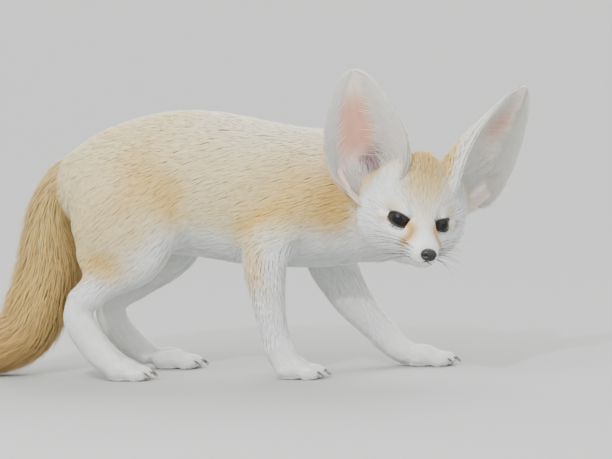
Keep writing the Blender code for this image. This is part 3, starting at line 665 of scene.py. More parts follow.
FACE_PATCHES = [
    (GOLD, 1.1, EYE_STREAK, 10),
    (RUST, 1.1, EYE_STREAK, 4.4),
    (GOLD, 1.6, (20, 29, 1), (9, 9, 7)),
    (BUFF, 0.9, (22, 24, 13), (16, 10, 8)),
    ((0.05, 0.04, 0.04), 0.9, [(25, 26.5, 3.6), (21.5, 28.6, 2.4)], 2.6),
    ((0.30, 0.28, 0.26), 0.85, [(35, 10.5, 9.5), (33, 12, 12), (30.5, 13.5, 15)], 3.2),
    # Painted shade of the ear's slit, on the fur in front of each ear's foot.
    ((0.36, 0.24, 0.26), 0.8, [(3, 27, 25), (10, 29, 24), (15, 30, 23)], 4),
]


def painted(colours, points, patches, sides=(1,)):
    """The colours with the patches over them, on each of the sides."""
    for side in sides:
        for colour, strength, place, half in patches:
            place = np.multiply(place, (1, side, 1))
            share = blob(points, place, half) if np.ndim(half) else stroke(points, place, half)
            colours = mixed(colours, colour, strength * share)
    return colours


def body_markings(points, normals):
    """Colours of the body and the legs: p is the place in the source's frame, a little shaken."""
    p = points - SHIFT
    p = p + 5 * np.stack([grain(p, wave, wave) for wave in (34, 37, 41)], -1)
    x, y, z = p.T
    colours = plain(CREAM, len(p))
    colours = mixed(colours, BUFF, 0.45 + 0.2 * grain(p, 52, 5))
    # Painted light: fur that faces upward, forward of the rump, is whitened as if lit from above.
    colours = mixed(colours, WHITE, 0.4 * smooth(normals[:, 2], 0.3, 0.95) * smooth(x, -110, -60))
    colours = painted(colours, p, FLANK_PATCHES, (-1, 1))
    belly = smooth(-(z - 124 - 0.10 * x), -14, 12) * smooth(x, -190, -120) * smooth(-x, -16, 4)
    chest = smooth(-(z - 126), -14, 12) * smooth(x, -4, 16)
    colours = mixed(colours, WHITE, np.maximum(belly, chest))
    colours = painted(colours, p, SHOULDER_PATCHES)
    low = smooth(-z, -150, -120)
    colours = mixed(colours, WHITE, smooth(-normals[:, 2], 0.1, 0.7) * low)
    rear = smooth(-x - 0.5 * (z - 100), 152, 170)
    colours = mixed(colours, BUFF, 0.9 * smooth(z, 84, 100) * low * rear * (np.abs(y) > 20))
    legs = smooth(-z, -112, -84) * (1 - 0.9 * rear * smooth(z, 82, 96))
    colours = painted(mixed(colours, WHITE, legs), p, THIGH_PATCHES)
    stripe = smooth(-np.abs(x + 40), -18, -3) * smooth(z, 56, 96) * smooth(-z, -156, -130)
    sandy = mixed(colours, GOLD, np.full(len(p), 0.5)) * (0.97, 0.93, 0.7)
    return mixed(colours, sandy, stripe * smooth(-y, 36, 44))


def face_markings(points):
    """Colours of the head, from places in its own frame."""
    p = head_local(points)
    x, y, z = p.T
    colours = plain(WHITE, len(p))
    colours = mixed(colours, BUFF, 0.9 * (smooth(z, 12, 32) * smooth(-np.abs(y), -28, -10)))
    colours = mixed(colours, GOLD, 0.4 * smooth(z, 22, 42) * smooth(-np.abs(y), -26, -8))
    colours = painted(colours, p, [(GOLD, 0.9, (2, 0, 50), (28, 20, 20))])
    colours = mixed(colours, BUFF, 0.95 * smooth(-x, 0, 14) * smooth(z, 4, 18))
    colours = mixed(colours, GOLD, 0.9 * smooth(-x, 8, 24) * smooth(z, -18, 8))
    brow, bridge = (CREAM, 0.8, (32, 0, 16), (20, 13, 20)), (WHITE, 0.6, (50, 0, 0), (15, 8, 13))
    colours = painted(colours, p, [brow, bridge])
    colours = painted(colours, p, FACE_PATCHES, (-1, 1))
    return painted(colours, p, [((0.30, 0.25, 0.22), 0.7, (66, 0, -14), (7, 11, 9))])


def tail_markings(distance, angle):
    """Colours of the tail by distance along it: sandy, browner below, with a dark brown tip."""
    colours = plain(TAIL_BUFF, len(distance))
    share = distance / TAIL_AXIS.length
    colours = mixed(colours, CREAM, 0.5 * smooth(-share, -0.12, 0.02))
    colours = mixed(colours, GOLD, 0.5 * smooth(share, 0.2, 0.5))
    colours = mixed(colours, TAIL_BROWN, 0.7 * smooth(share, 0.4, 0.75))
    colours = mixed(colours, TAIL_BROWN, 0.4 * smooth(np.sin(angle), 0.3, 0.9) * smooth(share, 0.15, 0.4))
    return mixed(colours, TAIL_BLACK, 0.95 * smooth(share, 0.86, 0.97))


def markings(points, normals, kinds):
    """Colours of the body and, on the head and the neck's front, those of the face."""
    colours = body_markings(points, normals)
    front_of_neck = smooth(head_local(points)[:, 0], -16, -4) * (kinds == "neck")
    share = np.maximum(np.where(kinds == "head", 1.0, 0.0), front_of_neck)
    return colours + (face_markings(points) - colours) * share[:, None]


COLOURS = skin.spread(markings(OUTER, NORMALS, skin.kinds), 6, np.where(is_head, 0.25, 1.0)[:, None])
COLOURS[skin.kinds == "tail"] = TAIL_BUFF
skin.points = OUTER - NORMALS * VALUES[:, :1]
skin.points[:, 2] = np.maximum(skin.points[:, 2], 0)


def eye_axes(side):
    """The way an eye looks, the way to its outer corner and the way up across them, in the head's frame."""
    looks = unit(mirrored(EYE_LOOKS, side))
    outward = mirrored((0, 1, 0), side)
    outward = unit(outward - looks * (outward @ looks))
    upward = np.cross(looks, outward)
    if upward[2] < 0:
        upward = -upward
    slant = math.radians(EYE_SLANT[side])
    turned = outward * math.cos(slant) + upward * math.sin(slant)
    return looks, turned, upward * math.cos(slant) - outward * math.sin(slant)


def lid_gap(side, points):
    """About how far outside the eye's opening each point stands, in arc millimetres."""
    looks, outward, upward = eye_axes(side)
    away = head_local(points) - eye_middle(side)
    turn = np.arccos(np.clip(unit(away) @ looks, -1, 1)) * LID_RADIUS
    flat = unit(np.stack([away @ outward, away @ upward], -1)) * turn[:, None]
    share = np.linalg.norm((flat - OPENING_MIDDLE) / OPENING_HALF, axis=1)
    return turn * (1 - 1 / np.maximum(share, 0.2))


def sink_under_lids():
    """Draws the skin in under the eyeballs' surface where the lids take its place."""
    for side in SIDES:
        middle = head_point(eye_middle(side))
        away = skin.points - middle
        reach = np.linalg.norm(away, axis=1)
        share = smooth(-lid_gap(side, skin.points), -5.0, -2.5) * (reach < 16)
        goal = np.minimum(reach, EYE_RADIUS - 0.5)
        skin.points += away / np.maximum(reach, 1e-6)[:, None] * ((goal - reach) * share)[:, None]


sink_under_lids()
# The skin takes the coat's colours a little darker: painted shade for the deep coat seen between the tufts.
SKIN_SHADE = 0.95
mesh_object("skin", skin.points, skin.quads, SKIN, "body_fur", FLESH + TAIL_NODES, COLOURS * SKIN_SHADE)


# Tufts. LEAN is how far the normals of a tuft's sides lean away from the skin's own, and UNDER_LEAN
# how far those of its underside lean inwards. TUFT_RISE is the height of its ridge over its width, and
# TUFT_SWELL its width at each step before its tip, by the number of its steps.

LEAN, UNDER_LEAN = 0.28, 0.8
TUFT_RISE = 0.3
TUFT_SWELL = {3: (0.85, 1.0), 4: (0.75, 1.0, 0.72)}
UV_PATCH = 0.0028


def tuft_faces(rings):
    """The corners of a tuft's faces, their sizes, and which corners are on its underside."""
    corners, sizes, below = [0, 2, 1], [3], [1, 1, 1]
    for ring in range(rings):
        for k in range(3):
            a, b = 3 * ring + k, 3 * ring + (k + 1) % 3
            face = [a, b, b + 3, a + 3] if ring < rings - 1 else [a, b, 3 * rings]
            corners += face
            sizes.append(len(face))
            below += [int(k == 2)] * len(face)
    return np.array(corners), sizes, np.array(below)


def tufts(name, paths, ups, widths, colours, patches, slot):
    """One piece of thin, closed, tapered tufts, each along its own path from its root to its tip."""
    count, steps = paths.shape[:2]
    rings = steps - 1

    def with_tips(rows, tips):
        return np.concatenate([rows.reshape(count, -1, 3), tips], 1)

    base, up = paths[:, :-1], ups[:, :-1]
    side = unit(np.cross(unit(np.diff(paths, axis=1)), up))
    half = (widths[:, None] * np.array(TUFT_SWELL[steps]) / 2)[..., None]
    ring = np.stack([base - side * half, base + up * half * 2 * TUFT_RISE, base + side * half], 2)
    points = with_tips(ring, paths[:, -1:])
    normals = unit(with_tips(np.stack([up - side * LEAN, up, up + side * LEAN], 2), ups[:, -1:]))
    under = with_tips(unit(np.stack([-side, up, side], 2) - UNDER_LEAN * up[:, :, None]), -ups[:, -1:])
    shades = with_tips(np.repeat(colours[:, :-1], 3, axis=1), colours[:, -1:])
    corners, sizes, below = tuft_faces(rings)
    loops = (np.arange(count)[:, None] * points.shape[1] + corners).ravel()
    sizes = np.tile(sizes, count)
    obj = mesh_object(name, points.reshape(-1, 3), loops, COAT_FUR, slot, (), shades.reshape(-1, 3), sizes)
    lit = np.where(below[None, :, None] > 0, under[:, corners], normals[:, corners])
    obj.data.normals_split_custom_set(lit.reshape(-1, 3).astype(np.float32))
    aside = np.tile([-0.5, 0.0, 0.5], rings).tolist() + [0.0]
    ahead = np.repeat(np.arange(rings) / rings - 0.5, 3).tolist() + [0.5]
    uv = (patches[:, None] + np.stack([aside, ahead], -1) * UV_PATCH).reshape(-1, 2)
    obj.data.uv_layers.new(name="OFBake").data.foreach_set("uv", uv[loops].astype(np.float32).ravel())


def shaded(base, steps, dark=0.94, bright=1.03, spread=0.035):
    """Each tuft's colours from root to tip: darker at the root as painted shade deep in the coat, with its
    own small change of tone.
    """
    tone = 1 + draw.normal(0, spread, (len(base), 1, 1))
    warm = 1 + draw.normal(0, 0.02, (len(base), 1, 1)) * np.array([1.0, 0.0, -1.4])
    along = np.linspace(dark, bright, steps)[None, :, None]
    base = base if base.ndim == 3 else base[:, None]
    return np.clip(base * along * tone * warm, 0.01, 0.92)


tree = BVHTree.FromPolygons([Vector(point) for point in skin.points], skin.quads.tolist())
inner_normals = skin.normals()
face_corners = skin.points[skin.quads]
face_middles = face_corners.mean(1)
diagonals = np.cross(face_corners[:, 2] - face_corners[:, 0], face_corners[:, 3] - face_corners[:, 1])
face_areas = np.linalg.norm(diagonals, axis=1) / 2
first = skin.quads[:, 0]


def on_skin(points):
    """The nearest places on the skin, and a point of the skin beside each."""
    face = np.array([tree.find_nearest(point)[2] for point in points.tolist()])
    vertex = skin.quads[face, 0]
    normals = inner_normals[vertex]
    off = ((points - face_middles[face]) * normals).sum(1, keepdims=True)
    return points - normals * off, vertex


def scattered(chosen, density):
    """Places drawn evenly over the chosen faces, so many to a square centimetre, and their faces."""
    weights = np.where(chosen, face_areas / 100 * density, 0)
    total = np.cumsum(weights)
    count = int(total[-1])
    pick = (np.arange(count) + draw.uniform(size=count)) / count * total[-1]
    face = np.minimum(np.searchsorted(total, pick), len(total) - 1)
    u, v = draw.uniform(size=(2, count, 1))
    a, b, c, d = (face_corners[face, k] for k in range(4))
    return (a * (1 - u) + b * u) * (1 - v) + (d * (1 - u) + c * u) * v, face


def clumped(roots, paths, spacing, pull):
    """Draws the tips of neighbouring tufts together, round every so many of them."""
    centres = np.arange(0, len(roots), spacing)
    draw.shuffle(centres)
    near = KDTree(len(centres))
    for k, centre in enumerate(centres):
        near.insert(roots[centre], k)
    near.balance()
    own = centres[[near.find(root)[1] for root in roots.tolist()]]
    for k in range(1, paths.shape[1]):
        share = pull * (k / (paths.shape[1] - 1)) ** 1.5
        paths[:, k] += (paths[own, k] - paths[:, k]) * share
    return paths


def wrap(points, middle, ahead, up, reach):
    """Each root's place on the skin's unwrap: its angle round an axis, and its distance along it."""
    ahead, up = unit(np.asarray(ahead, float)), np.asarray(up, float)
    side = unit(np.cross(up, ahead))
    up = np.cross(ahead, side)
    away = points - middle
    angle = np.arctan2(away @ side, away @ up) / (2 * np.pi) + 0.5
    low, high = reach
    along = np.clip((away @ ahead - low) / (high - low), 0, 1)
    return 0.01 + 0.98 * np.stack([angle, along], -1)


ROOT_SINKS, LOWEST_TUFT, LOWEST_TAIL_TUFT = 0.25, 0.35, 0.5
TUFT_STEPS = 2


def coat(name, chosen, axis, slot, stray=0.16, clump=(12, 0.14), crisp=0.4):
    """The coat of the chosen faces as one piece. crisp is how closely its colours keep their places."""
    roots, face = scattered(chosen & FURRED, VALUES[first, 3])
    vertex = skin.quads[face, draw.integers(0, 4, len(face))]
    depth, length, width = VALUES[vertex, 0], VALUES[vertex, 1], VALUES[vertex, 2]
    count = len(roots)
    normals = inner_normals[vertex]
    swing = draw.normal(0, stray, (count, 1))
    lie = across(LIE[vertex] + np.cross(normals, LIE[vertex]) * swing, normals)
    length = length * draw.uniform(0.75, 1.2, count)
    rise = (depth + FLARE[vertex]) * np.clip(draw.normal(0.88, 0.12, count), 0.3, 1.3)
    paths, ups = [roots - normals * ROOT_SINKS], [normals]
    beneath = [COLOURS[vertex]]
    here = roots
    for k in range(1, TUFT_STEPS + 1):
        here, beside = on_skin(here + lie * (length / TUFT_STEPS)[:, None])
        up = inner_normals[beside]
        lie = across(lie + 0.8 * LIE[beside], up)
        share = k / TUFT_STEPS
        paths.append(here + up * (rise * (1 - (1 - share) ** 2))[:, None])
        ups.append(up)
        beneath.append(COLOURS[vertex] * (1 - crisp) + COLOURS[beside] * crisp)
    paths, ups = np.stack(paths, 1), np.stack(ups, 1)
    ahead = unit(np.diff(paths, axis=1))
    lean = (ups[:, 1:] * ahead).sum(-1, keepdims=True)
    ups[:, 1:] = unit(ups[:, 1:] - ahead * lean * smooth(np.abs(lean), 0.3, 0.7))
    paths = clumped(roots, paths, *clump)
    paths[..., 2] = np.maximum(paths[..., 2], LOWEST_TUFT)
    colours = shaded(np.stack(beneath, 1), TUFT_STEPS + 1)
    width = width * draw.uniform(0.8, 1.2, count)
    tufts(name, paths, ups, width, colours, wrap(roots, *axis), slot)


kind_of_face = skin.kinds[first]
side_of_face = np.where((face_middles - SHIFT)[:, 1] > 0, "left", "right")
middle_x = (face_middles - SHIFT)[:, 0]
local_faces = head_local(face_middles)


def furred_faces():
    """The faces that carry tufts: not those of the soles, the eyes' openings and the nose."""
    furred = (inner_normals[first][:, 2] >= -0.7) | (face_middles[:, 2] >= 2.5)
    for side in SIDES:
        reach = np.linalg.norm(local_faces - eye_middle(side), axis=1)
        furred &= (lid_gap(side, face_middles) > 2.5) | (reach > 18)
    nose = np.linalg.norm((local_faces - NOSE_AT) / NOSE_HALF, axis=1)
    return furred & (nose > 1.12)


FURRED = furred_faces()
BODY_AXIS = (SHIFT + (-80, 0, 155), (1, 0, 0), (0, 0, 1), (-150, 150))
NECK_AXIS = (SHIFT + (50, -5, 148), (0.9, -0.4, 0), (0, 0, 1), (-50, 60))
HEAD_AXIS = (SKULL, HEAD_AXES[:, 0], HEAD_AXES[:, 2], (-60, 75))


def leg_axis(x, y, z, ahead, reach):
    return SHIFT + (x, y, z), ahead, (1, 0, 0.1), reach


LEG_AXES = {
    "fore_right": leg_axis(-27, -38, 60, (0.1, 0, -1), (-70, 70)),
    "fore_left": leg_axis(35, 37, 60, (0.5, 0, -0.85), (-80, 80)),
    "hind_right": leg_axis(-178, -37, 60, (0.05, 0, -1), (-70, 70)),
    "hind_left": leg_axis(-160, 37, 60, (0.05, 0, -1), (-70, 70)),
    "thigh_right": leg_axis(-150, -36, 130, (-0.1, 0, -1), (-70, 60)),
    "thigh_left": leg_axis(-130, 36, 125, (-0.1, 0, -1), (-70, 60)),
}
LEG_COATS = {"fore": ("foreleg", "forepaw"), "hind": ("shank", "hindpaw"), "thigh": ("thigh",)}

coat("coat_head", kind_of_face == "head", HEAD_AXIS, "face_fur", stray=0.12, clump=(10, 0.12), crisp=0.85)
coat("coat_neck", kind_of_face == "neck", NECK_AXIS, "body_fur", stray=0.2, clump=(14, 0.25))
for side in SIDES:
    for end, chosen in (("fore", middle_x > -75), ("rear", middle_x <= -75)):
        faces = (kind_of_face == "torso") & (side_of_face == side) & chosen
        coat("coat_torso_" + end + "_" + side, faces, BODY_AXIS, "body_fur")
    for part, kinds in LEG_COATS.items():
        faces = np.isin(kind_of_face, kinds) & (side_of_face == side)
        slot = "body_fur" if part == "thigh" else "leg_fur"
        coat("coat_" + part + "_" + side, faces, LEG_AXES[part + "_" + side], slot, clump=(10, 0.12))


TAIL_TUFTS, TAIL_SPLIT = 24000, 130


def tail_coat():
    """The tail's long fur, in two pieces, laid along its axis from the core out to the tips."""
    count = TAIL_TUFTS
    start = -6 + (TAIL_AXIS.length + 2) * draw.uniform(size=count) ** 0.95
    angle = draw.uniform(0, 2 * np.pi, count)
    length = draw.uniform(26, 40, count) * (0.6 + 0.4 * smooth(start, 0, 60))
    bend = draw.normal(0, 0.15, count)
    top = draw.uniform(0.62, 1.0, count)
    rows = []
    for k in range(TUFT_STEPS + 1):
        share = k / TUFT_STEPS
        out = TAIL_CORE - 0.06 + (top - TAIL_CORE + 0.06) * (1 - (1 - share) ** 1.7)
        rows.append(TAIL_AXIS.at(start + length * share, angle + bend * share, out))
    paths, _, ups = (np.stack(row, 1) for row in zip(*rows))
    paths = clumped(paths[:, 0], paths, 30, 0.12)
    paths[..., 2] = np.maximum(paths[..., 2], LOWEST_TAIL_TUFT)
    base = tail_markings(start + length * 0.6, angle)
    # Painted shade: the tail's tufts are darker still at their roots.
    colours = shaded(base, TUFT_STEPS + 1, dark=0.85, bright=1.05, spread=0.07)
    width = draw.uniform(0.7, 1.15, count)
    unwrap = np.stack([angle / (2 * np.pi), np.clip((start + 10) / (TAIL_AXIS.length + 10), 0, 1)], -1)
    upper = start < TAIL_SPLIT
    for name, chosen in (("coat_tail_upper", upper), ("coat_tail_lower", ~upper)):
        rows = (values[chosen] for values in (paths, ups, width, colours, 0.01 + 0.98 * unwrap))
        tufts(name, *rows, "tail_fur")


tail_coat()


# The ears.


EAR_CURVE = on_curve(EAR, 12)
EAR_SKIN = material("ear_skin", (0.7, 0.5, 0.42), 0.6, specular=0.3, attribute="coat", bump=(700, 0.3, 0.4))
EAR_THICK, EAR_REACH = 1.7, (-0.16, 1.025)


class Ear:
    """One ear's cup: places on it by share of its length, place across it from rim to rim, and height."""

    def __init__(self, side):
        self.side = side
        self.root, tip = ear_ends(side)
        self.length = np.linalg.norm(tip - self.root)
        self.axis = (tip - self.root) / self.length
        out = 1 if side == "left" else -1
        angle = math.radians(out * EAR_OPENS_OUT[side])
        opens = np.array((math.cos(angle), math.sin(angle), 0))
        self.opens = unit(opens - self.axis * (opens @ self.axis))
        self.across = np.cross(self.axis, self.opens)
        self.medial = -out

    def at(self, share, place, height):
        """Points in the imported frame. place is -1 at the lateral rim and 1 at the medial one.

        height is over the middle of the ear's thickness, towards its opening.
        """
        share, place, height = np.broadcast_arrays(share, place, height)
        width = np.interp(share, EAR_CURVE[:, 0], EAR_CURVE[:, 1])
        half_angle = np.radians(np.interp(share, EAR_CURVE[:, 0], EAR_CURVE[:, 2]))
        radius = width / 2 / np.sin(np.minimum(half_angle, np.pi / 2))
        depth = radius * (1 - np.cos(half_angle))
        turn = place * self.medial * half_angle
        r = radius - height
        forward = (r * np.cos(turn) - radius + depth / 2)[..., None]
        local = self.root + self.axis * self.length * share[..., None] - self.opens * forward
        return head_point(local + self.across * (r * np.sin(turn))[..., None])

    def up(self, share, place):
        return unit(self.at(share, place, 1.0) - self.at(share, place, 0.0))


def hump(x, width):
    return np.exp(-((x / width) ** 2))


def ear_folds(share, place):
    """How far the inside stands out: two ridges up from the ear's foot, and the pocket by its outer rim."""
    ridge = 2.2 * hump(place - 0.55 + 0.9 * share, 0.10) * smooth(-share, -0.42, -0.12)
    second = 1.6 * hump(place + 0.35 - 0.5 * share, 0.12) * smooth(-share, -0.34, -0.08)
    pocket = 2.4 * hump(place + 0.66, 0.07) * smooth(-np.abs(share - 0.08), -0.14, -0.05)
    return ridge + second + pocket


# The slit at the foot of the near ear: a line in about millimetres along the ear and across it, as
# EAR_MILLIMETRES makes them from a share and a place.
# The slit's dark is painted shade in that crease, on the ear's skin and on the hair over its foot.
EAR_SLIT = [(17, -5, 0), (10, -1, 0), (4, 2, 0), (-5, 5, 0), (-10, 9, 0)]
EAR_MILLIMETRES = (97, 35)


def near_slit(share, place, half, below=0):
    """1 along the slit, falling to 0 at half its width. below moves it down the ear, in millimetres."""
    along, aside = share * EAR_MILLIMETRES[0] + below, place * EAR_MILLIMETRES[1]
    return stroke(np.stack([along, aside, 0 * share], -1), EAR_SLIT, half)


def ear_inside_colours(side, share, place):
    """Colours of the ear's inside: pale at its rim, pink in its middle, with painted shade in its hollows."""
    share, place = share.ravel(), place.ravel()
    near = side == "right"
    colours = plain(EAR_INSIDE[side], len(share))
    low, centre = (0.12, -0.2) if near else (0.38, -0.05)
    middle = smooth(-np.abs(place - centre), -0.7, -0.15) * smooth(share, low, low + 0.25)
    colours = mixed(colours, EAR_PINK, middle * smooth(-share, -0.94, -0.66))
    speckle = grain(np.stack([share * 100, place * 40, 0 * share], -1), 9, 3)
    colours = colours * (1 + 0.04 * speckle)[:, None]
    # Painted shade in the canal and along the slit, weaker on the far ear.
    canal = smooth(-np.abs(place - 0.2), -0.55, -0.1) * smooth(-np.abs(share - 0.14), -0.24, -0.05)
    colours = mixed(colours, CANAL_PAINTED_SHADE, (0.9 if near else 0.2) * canal)
    colours = mixed(colours, SLIT_PAINTED_SHADE, (0.95 if near else 0.3) * near_slit(share, place, 6))
    pocket = smooth(-np.abs(place + 0.80), -0.12, -0.03) * smooth(-np.abs(share - 0.08), -0.13, -0.06)
    colours = mixed(colours, POCKET_PINK, (0.85 if near else 0.3) * pocket)
    return mixed(colours, EAR_RIM, smooth(np.abs(place), 0.72, 0.95) * (1 - pocket))


def pale_margin(share, place):
    """How white the back of the ear is: a margin along its inner rim that widens towards the tip."""
    start = 0.8 - 0.45 * smooth(share, 0.2, 0.5)
    return smooth(place, start, start + 0.15)


def ear_piece(ear):
    """The ear's skin: inside and back, joined round the rim."""
    rows, columns = 90, 64
    shares = np.linspace(*EAR_REACH, rows)[:, None] * np.ones((1, columns))
    places = np.ones((rows, 1)) * np.linspace(-1, 1, columns)[None]
    thick = EAR_THICK * (1 - 0.5 * np.abs(places) ** 6) * (1 - 0.3 * np.clip(shares, 0, 1))
    inside = ear.at(shares, places, thick / 2 + ear_folds(shares, places) * (1 - np.abs(places) ** 8))
    back = ear.at(shares, places, -thick / 2)
    points = np.concatenate([inside.reshape(-1, 3), back.reshape(-1, 3)])
    n = rows * columns
    inner = grid_loops(rows, columns).reshape(-1, 4)
    outer = grid_loops(rows, columns, start=n).reshape(-1, 4)[:, ::-1]
    border = []
    for row in range(rows - 1):
        for column in (0, columns - 1):
            a, b = row * columns + column, (row + 1) * columns + column
            border.append((a, b, b + n, a + n) if column == 0 else (b, a, a + n, b + n))
    for column in range(columns - 1):
        for row in (0, rows - 1):
            a, b = row * columns + column, row * columns + column + 1
            border.append((b, a, a + n, b + n) if row == 0 else (a, b, b + n, a + n))
    quads = np.concatenate([inner, outer, np.array(border)])
    if ear.side == "left":
        quads = quads[:, ::-1]
    gold = mixed(plain(BUFF, n), EAR_MARGIN, pale_margin(shares.ravel(), places.ravel()))
    # The back's skin is its colours made darker: painted shade under the back's tufts.
    colours = np.concatenate([ear_inside_colours(ear.side, shares, places), gold * 0.85])
    node = "ear_" + ear.side
    mesh_object(node + "_skin", points, quads, EAR_SKIN, "ear_skin", [node], colours)


def ear_strands(ear, share, place, height):
    """Paths over the ear from arrays of count by steps, and the ways out from it there."""
    sign = np.sign(height[:, -1:])
    base = EAR_THICK / 2 * (1 - 0.5 * np.clip(np.abs(place), 0, 1) ** 6)
    points = ear.at(share, place, sign * base + height)
    ups = ear.up(share, place) * sign[..., None]
    return points, ups


def ear_fur(ear):
    """The hair of one ear: combed over the cup from its rims, a fringe round it, and the back's short fur."""
    side, near = ear.side, ear.side == "right"

    def piece(name, share, place, length, sweep, rise, base, width, tone=(0.9, 1.04, 0.05), steps=3):
        """Hair from a share and a place; a rise below 0 puts it on the ear's back."""
        width = draw.uniform(*width, len(share))
        t = np.linspace(0, 1, steps)[None]
        length = np.minimum(length, (1.03 - share) * ear.length)
        shares = share[:, None] + (length / ear.length)[:, None] * t
        places = place[:, None] + sweep[:, None] * t
        heights = rise[:, None] * (0.08 + t * (1.6 - 0.6 * t))
        points, ups = ear_strands(ear, np.clip(shares, *EAR_REACH), places, heights)
        unwrap = np.stack([(place + 1) / 4 + (0.5 if rise[0] < 0 else 0), (share + 0.2) / 1.25], -1)
        patches = 0.01 + 0.98 * np.clip(unwrap, 0, 1)
        colours = shaded(np.broadcast_to(base, (len(share), 3)), steps, *tone)
        tufts("coat_ear_" + side + "_" + name, points, ups, width, colours, patches, "ear_skin")

    count = 3200
    share = draw.uniform(0.1, 0.9, count)
    place = 1 - np.abs(draw.normal(0, 0.22 if near else 0.5, count))
    reach = draw.uniform(10, 20, count) * (1 - 0.5 * share)
    sweep = -draw.uniform(0.25, 0.75, count) * (1 - 0.5 * share)
    rise = draw.uniform(0.5, 2.4 if near else 1.4, count)
    beneath = ear_inside_colours(side, share + 0.04, place + sweep * 0.5)
    base = np.array(EAR_WHITE) + (beneath - EAR_WHITE) * (0.25 if near else 0.5)
    piece("medial", share, place, reach * 0.7, sweep, rise, base, (0.35, 0.6), steps=4)

    count = 1800
    share = draw.uniform(0.14, 0.92, count)
    place = -1 + np.abs(draw.normal(0, 0.12, count))
    reach, sweep = draw.uniform(6, 12, count), draw.uniform(0.02, 0.25, count)
    piece("lateral", share, place, reach, sweep, draw.uniform(0.5, 1.6, count), EAR_WHITE, (0.35, 0.6))

    count = 1000 if near else 2600
    share = draw.uniform(-0.14, 0.06 if near else 0.22, count)
    place = draw.uniform(-0.6, 1 if near else 0.6, count)
    # Painted shadow of the slit on the hair at the ear's foot.
    base = mixed(plain(EAR_WHITE, count), SLIT_SHADOW, 0.9 * (near_slit(share, place, 9, 8) * near))
    reach, sweep = draw.uniform(10, 24, count), draw.normal(0, 0.12, count)
    piece("base", share, place, reach, sweep, draw.uniform(1.0, 4.5, count), base, (0.45, 0.75))

    count = 3600
    share = draw.uniform(0.0, 1.0, count)
    edge = np.where(draw.uniform(size=count) < 0.5, -1, 1)
    place = edge * draw.uniform(0.9, 0.99, count)
    corner = (edge < 0) * smooth(-share, -0.2, 0)
    for name, turns, rises in (("rim", (0.03, 0.10), (0.1, 0.7)), ("rim_back", (0.0, 0.06), (0.1, 0.6))):
        reach, sweep = draw.uniform(4, 7, count), edge * draw.uniform(*turns, count)
        rise = draw.uniform(*rises, count)
        sweep, rise = (sweep * (1 + 2.5 * corner), rise) if name == "rim" else (sweep, -rise)
        piece(name, share, place, reach, sweep, rise, EAR_WHITE, (0.45, 0.7), (0.95, 1.05, 0.05))

    count = 5200
    share = draw.uniform(-0.1, 1.0, count)
    place = draw.uniform(-0.93, 0.93, count)
    base = mixed(plain(BUFF, count), GOLD, 0.7 * smooth(-share, -0.7, 0.1))
    base = mixed(base, EAR_WHITE, pale_margin(share, place))
    rise = draw.uniform(0.6, 1.6, count)
    rise = rise + 1.6 * smooth(place, 0.1, 0.7) * smooth(-np.abs(share - 0.3), -0.35, 0)
    reach, sweep = draw.uniform(6, 10, count), draw.normal(0, 0.04, count)
    piece("back", share, place, reach, sweep, -rise, base, (0.7, 1.1), (0.88, 1.04, 0.06))


for side in SIDES:
    one_ear = Ear(side)
    ear_piece(one_ear)
    ear_fur(one_ear)


# Eyes, lids, nose, mouth, whiskers, claws and pads.


EYE_RINGS = [
    (0.0, (0.002, 0.002, 0.003)),
    (1.0, (0.006, 0.005, 0.004)),
    (0.30, (0.002, 0.002, 0.003)),
    (0.36, (0.010, 0.007, 0.005)),
    (0.55, (0.018, 0.012, 0.009)),
    (0.64, (0.004, 0.003, 0.003)),
]


def eye_material():
    """A nearly black, wet eye with a faint brown iris. EYE_RINGS has the ramp's own two ends first."""
    made = material("eye", (0.01, 0.008, 0.007), 0.02, specular=0.28)
    nodes, links = made.node_tree.nodes, made.node_tree.links
    away = nodes.new("ShaderNodeAttribute")
    away.attribute_name = "from_look"
    ramp = nodes.new("ShaderNodeValToRGB")
    stops = ramp.color_ramp.elements
    for k, (place, colour) in enumerate(EYE_RINGS):
        stop = stops[k] if k < 2 else stops.new(place)
        stop.color = (*colour, 1)
    links.new(away.outputs["Fac"], ramp.inputs["Fac"])
    links.new(ramp.outputs["Color"], nodes["Principled BSDF"].inputs["Base Color"])
    return made


EYE = eye_material()
LID_SKIN = material("lid_skin", (0.035, 0.025, 0.022), 0.5, specular=0.4, attribute="coat")


def eye_piece(side):
    """The eyeball with its bulging cornea."""
    looks, outward, upward = eye_axes(side)
    axes = HEAD_AXES @ np.stack([looks, outward, upward], 1)
    middle = head_point(eye_middle(side))
    points, loops = ball(middle, (EYE_RADIUS,) * 3, 48, 48, axes)
    ways = unit(points - middle)
    off = np.arccos(np.clip(ways @ axes[:, 0], -1, 1))
    points += ways * (0.7 * smooth(1 - off / 0.75))[:, None]
    eye = mesh_object("eyeball_" + side, points, loops, EYE, "eye", ["eye_" + side])
    value = eye.data.attributes.new("from_look", "FLOAT", "POINT")
    value.data.foreach_set("value", np.clip(off / 1.2, 0, 1).astype(np.float32))


# The lids, from the opening's edge outwards: the gap from it and the distance from the eye's middle.
LID_ROW = [(0, 10.75), (0.3, 11.25), (1.3, 11.45), (3.0, 11.75), (5.0, 11.7), (6.5, 11.2), (8.0, 10.2)]


def lid_edge(angle):
    """The opening's edge in arc millimetres, with its inner corner drawn down."""
    inner = smooth(-np.cos(angle), 0.55, 1.0)
    wide = np.where(np.cos(angle) > 0, *OPENING_WIDE) * np.cos(angle)
    rise = np.where(np.sin(angle) > 0, *OPENING_HIGH)
    high = rise * np.sign(np.sin(angle)) * np.abs(np.sin(angle)) ** 1.2
    return np.stack([wide, high - CORNER_DROOP * inner], -1)


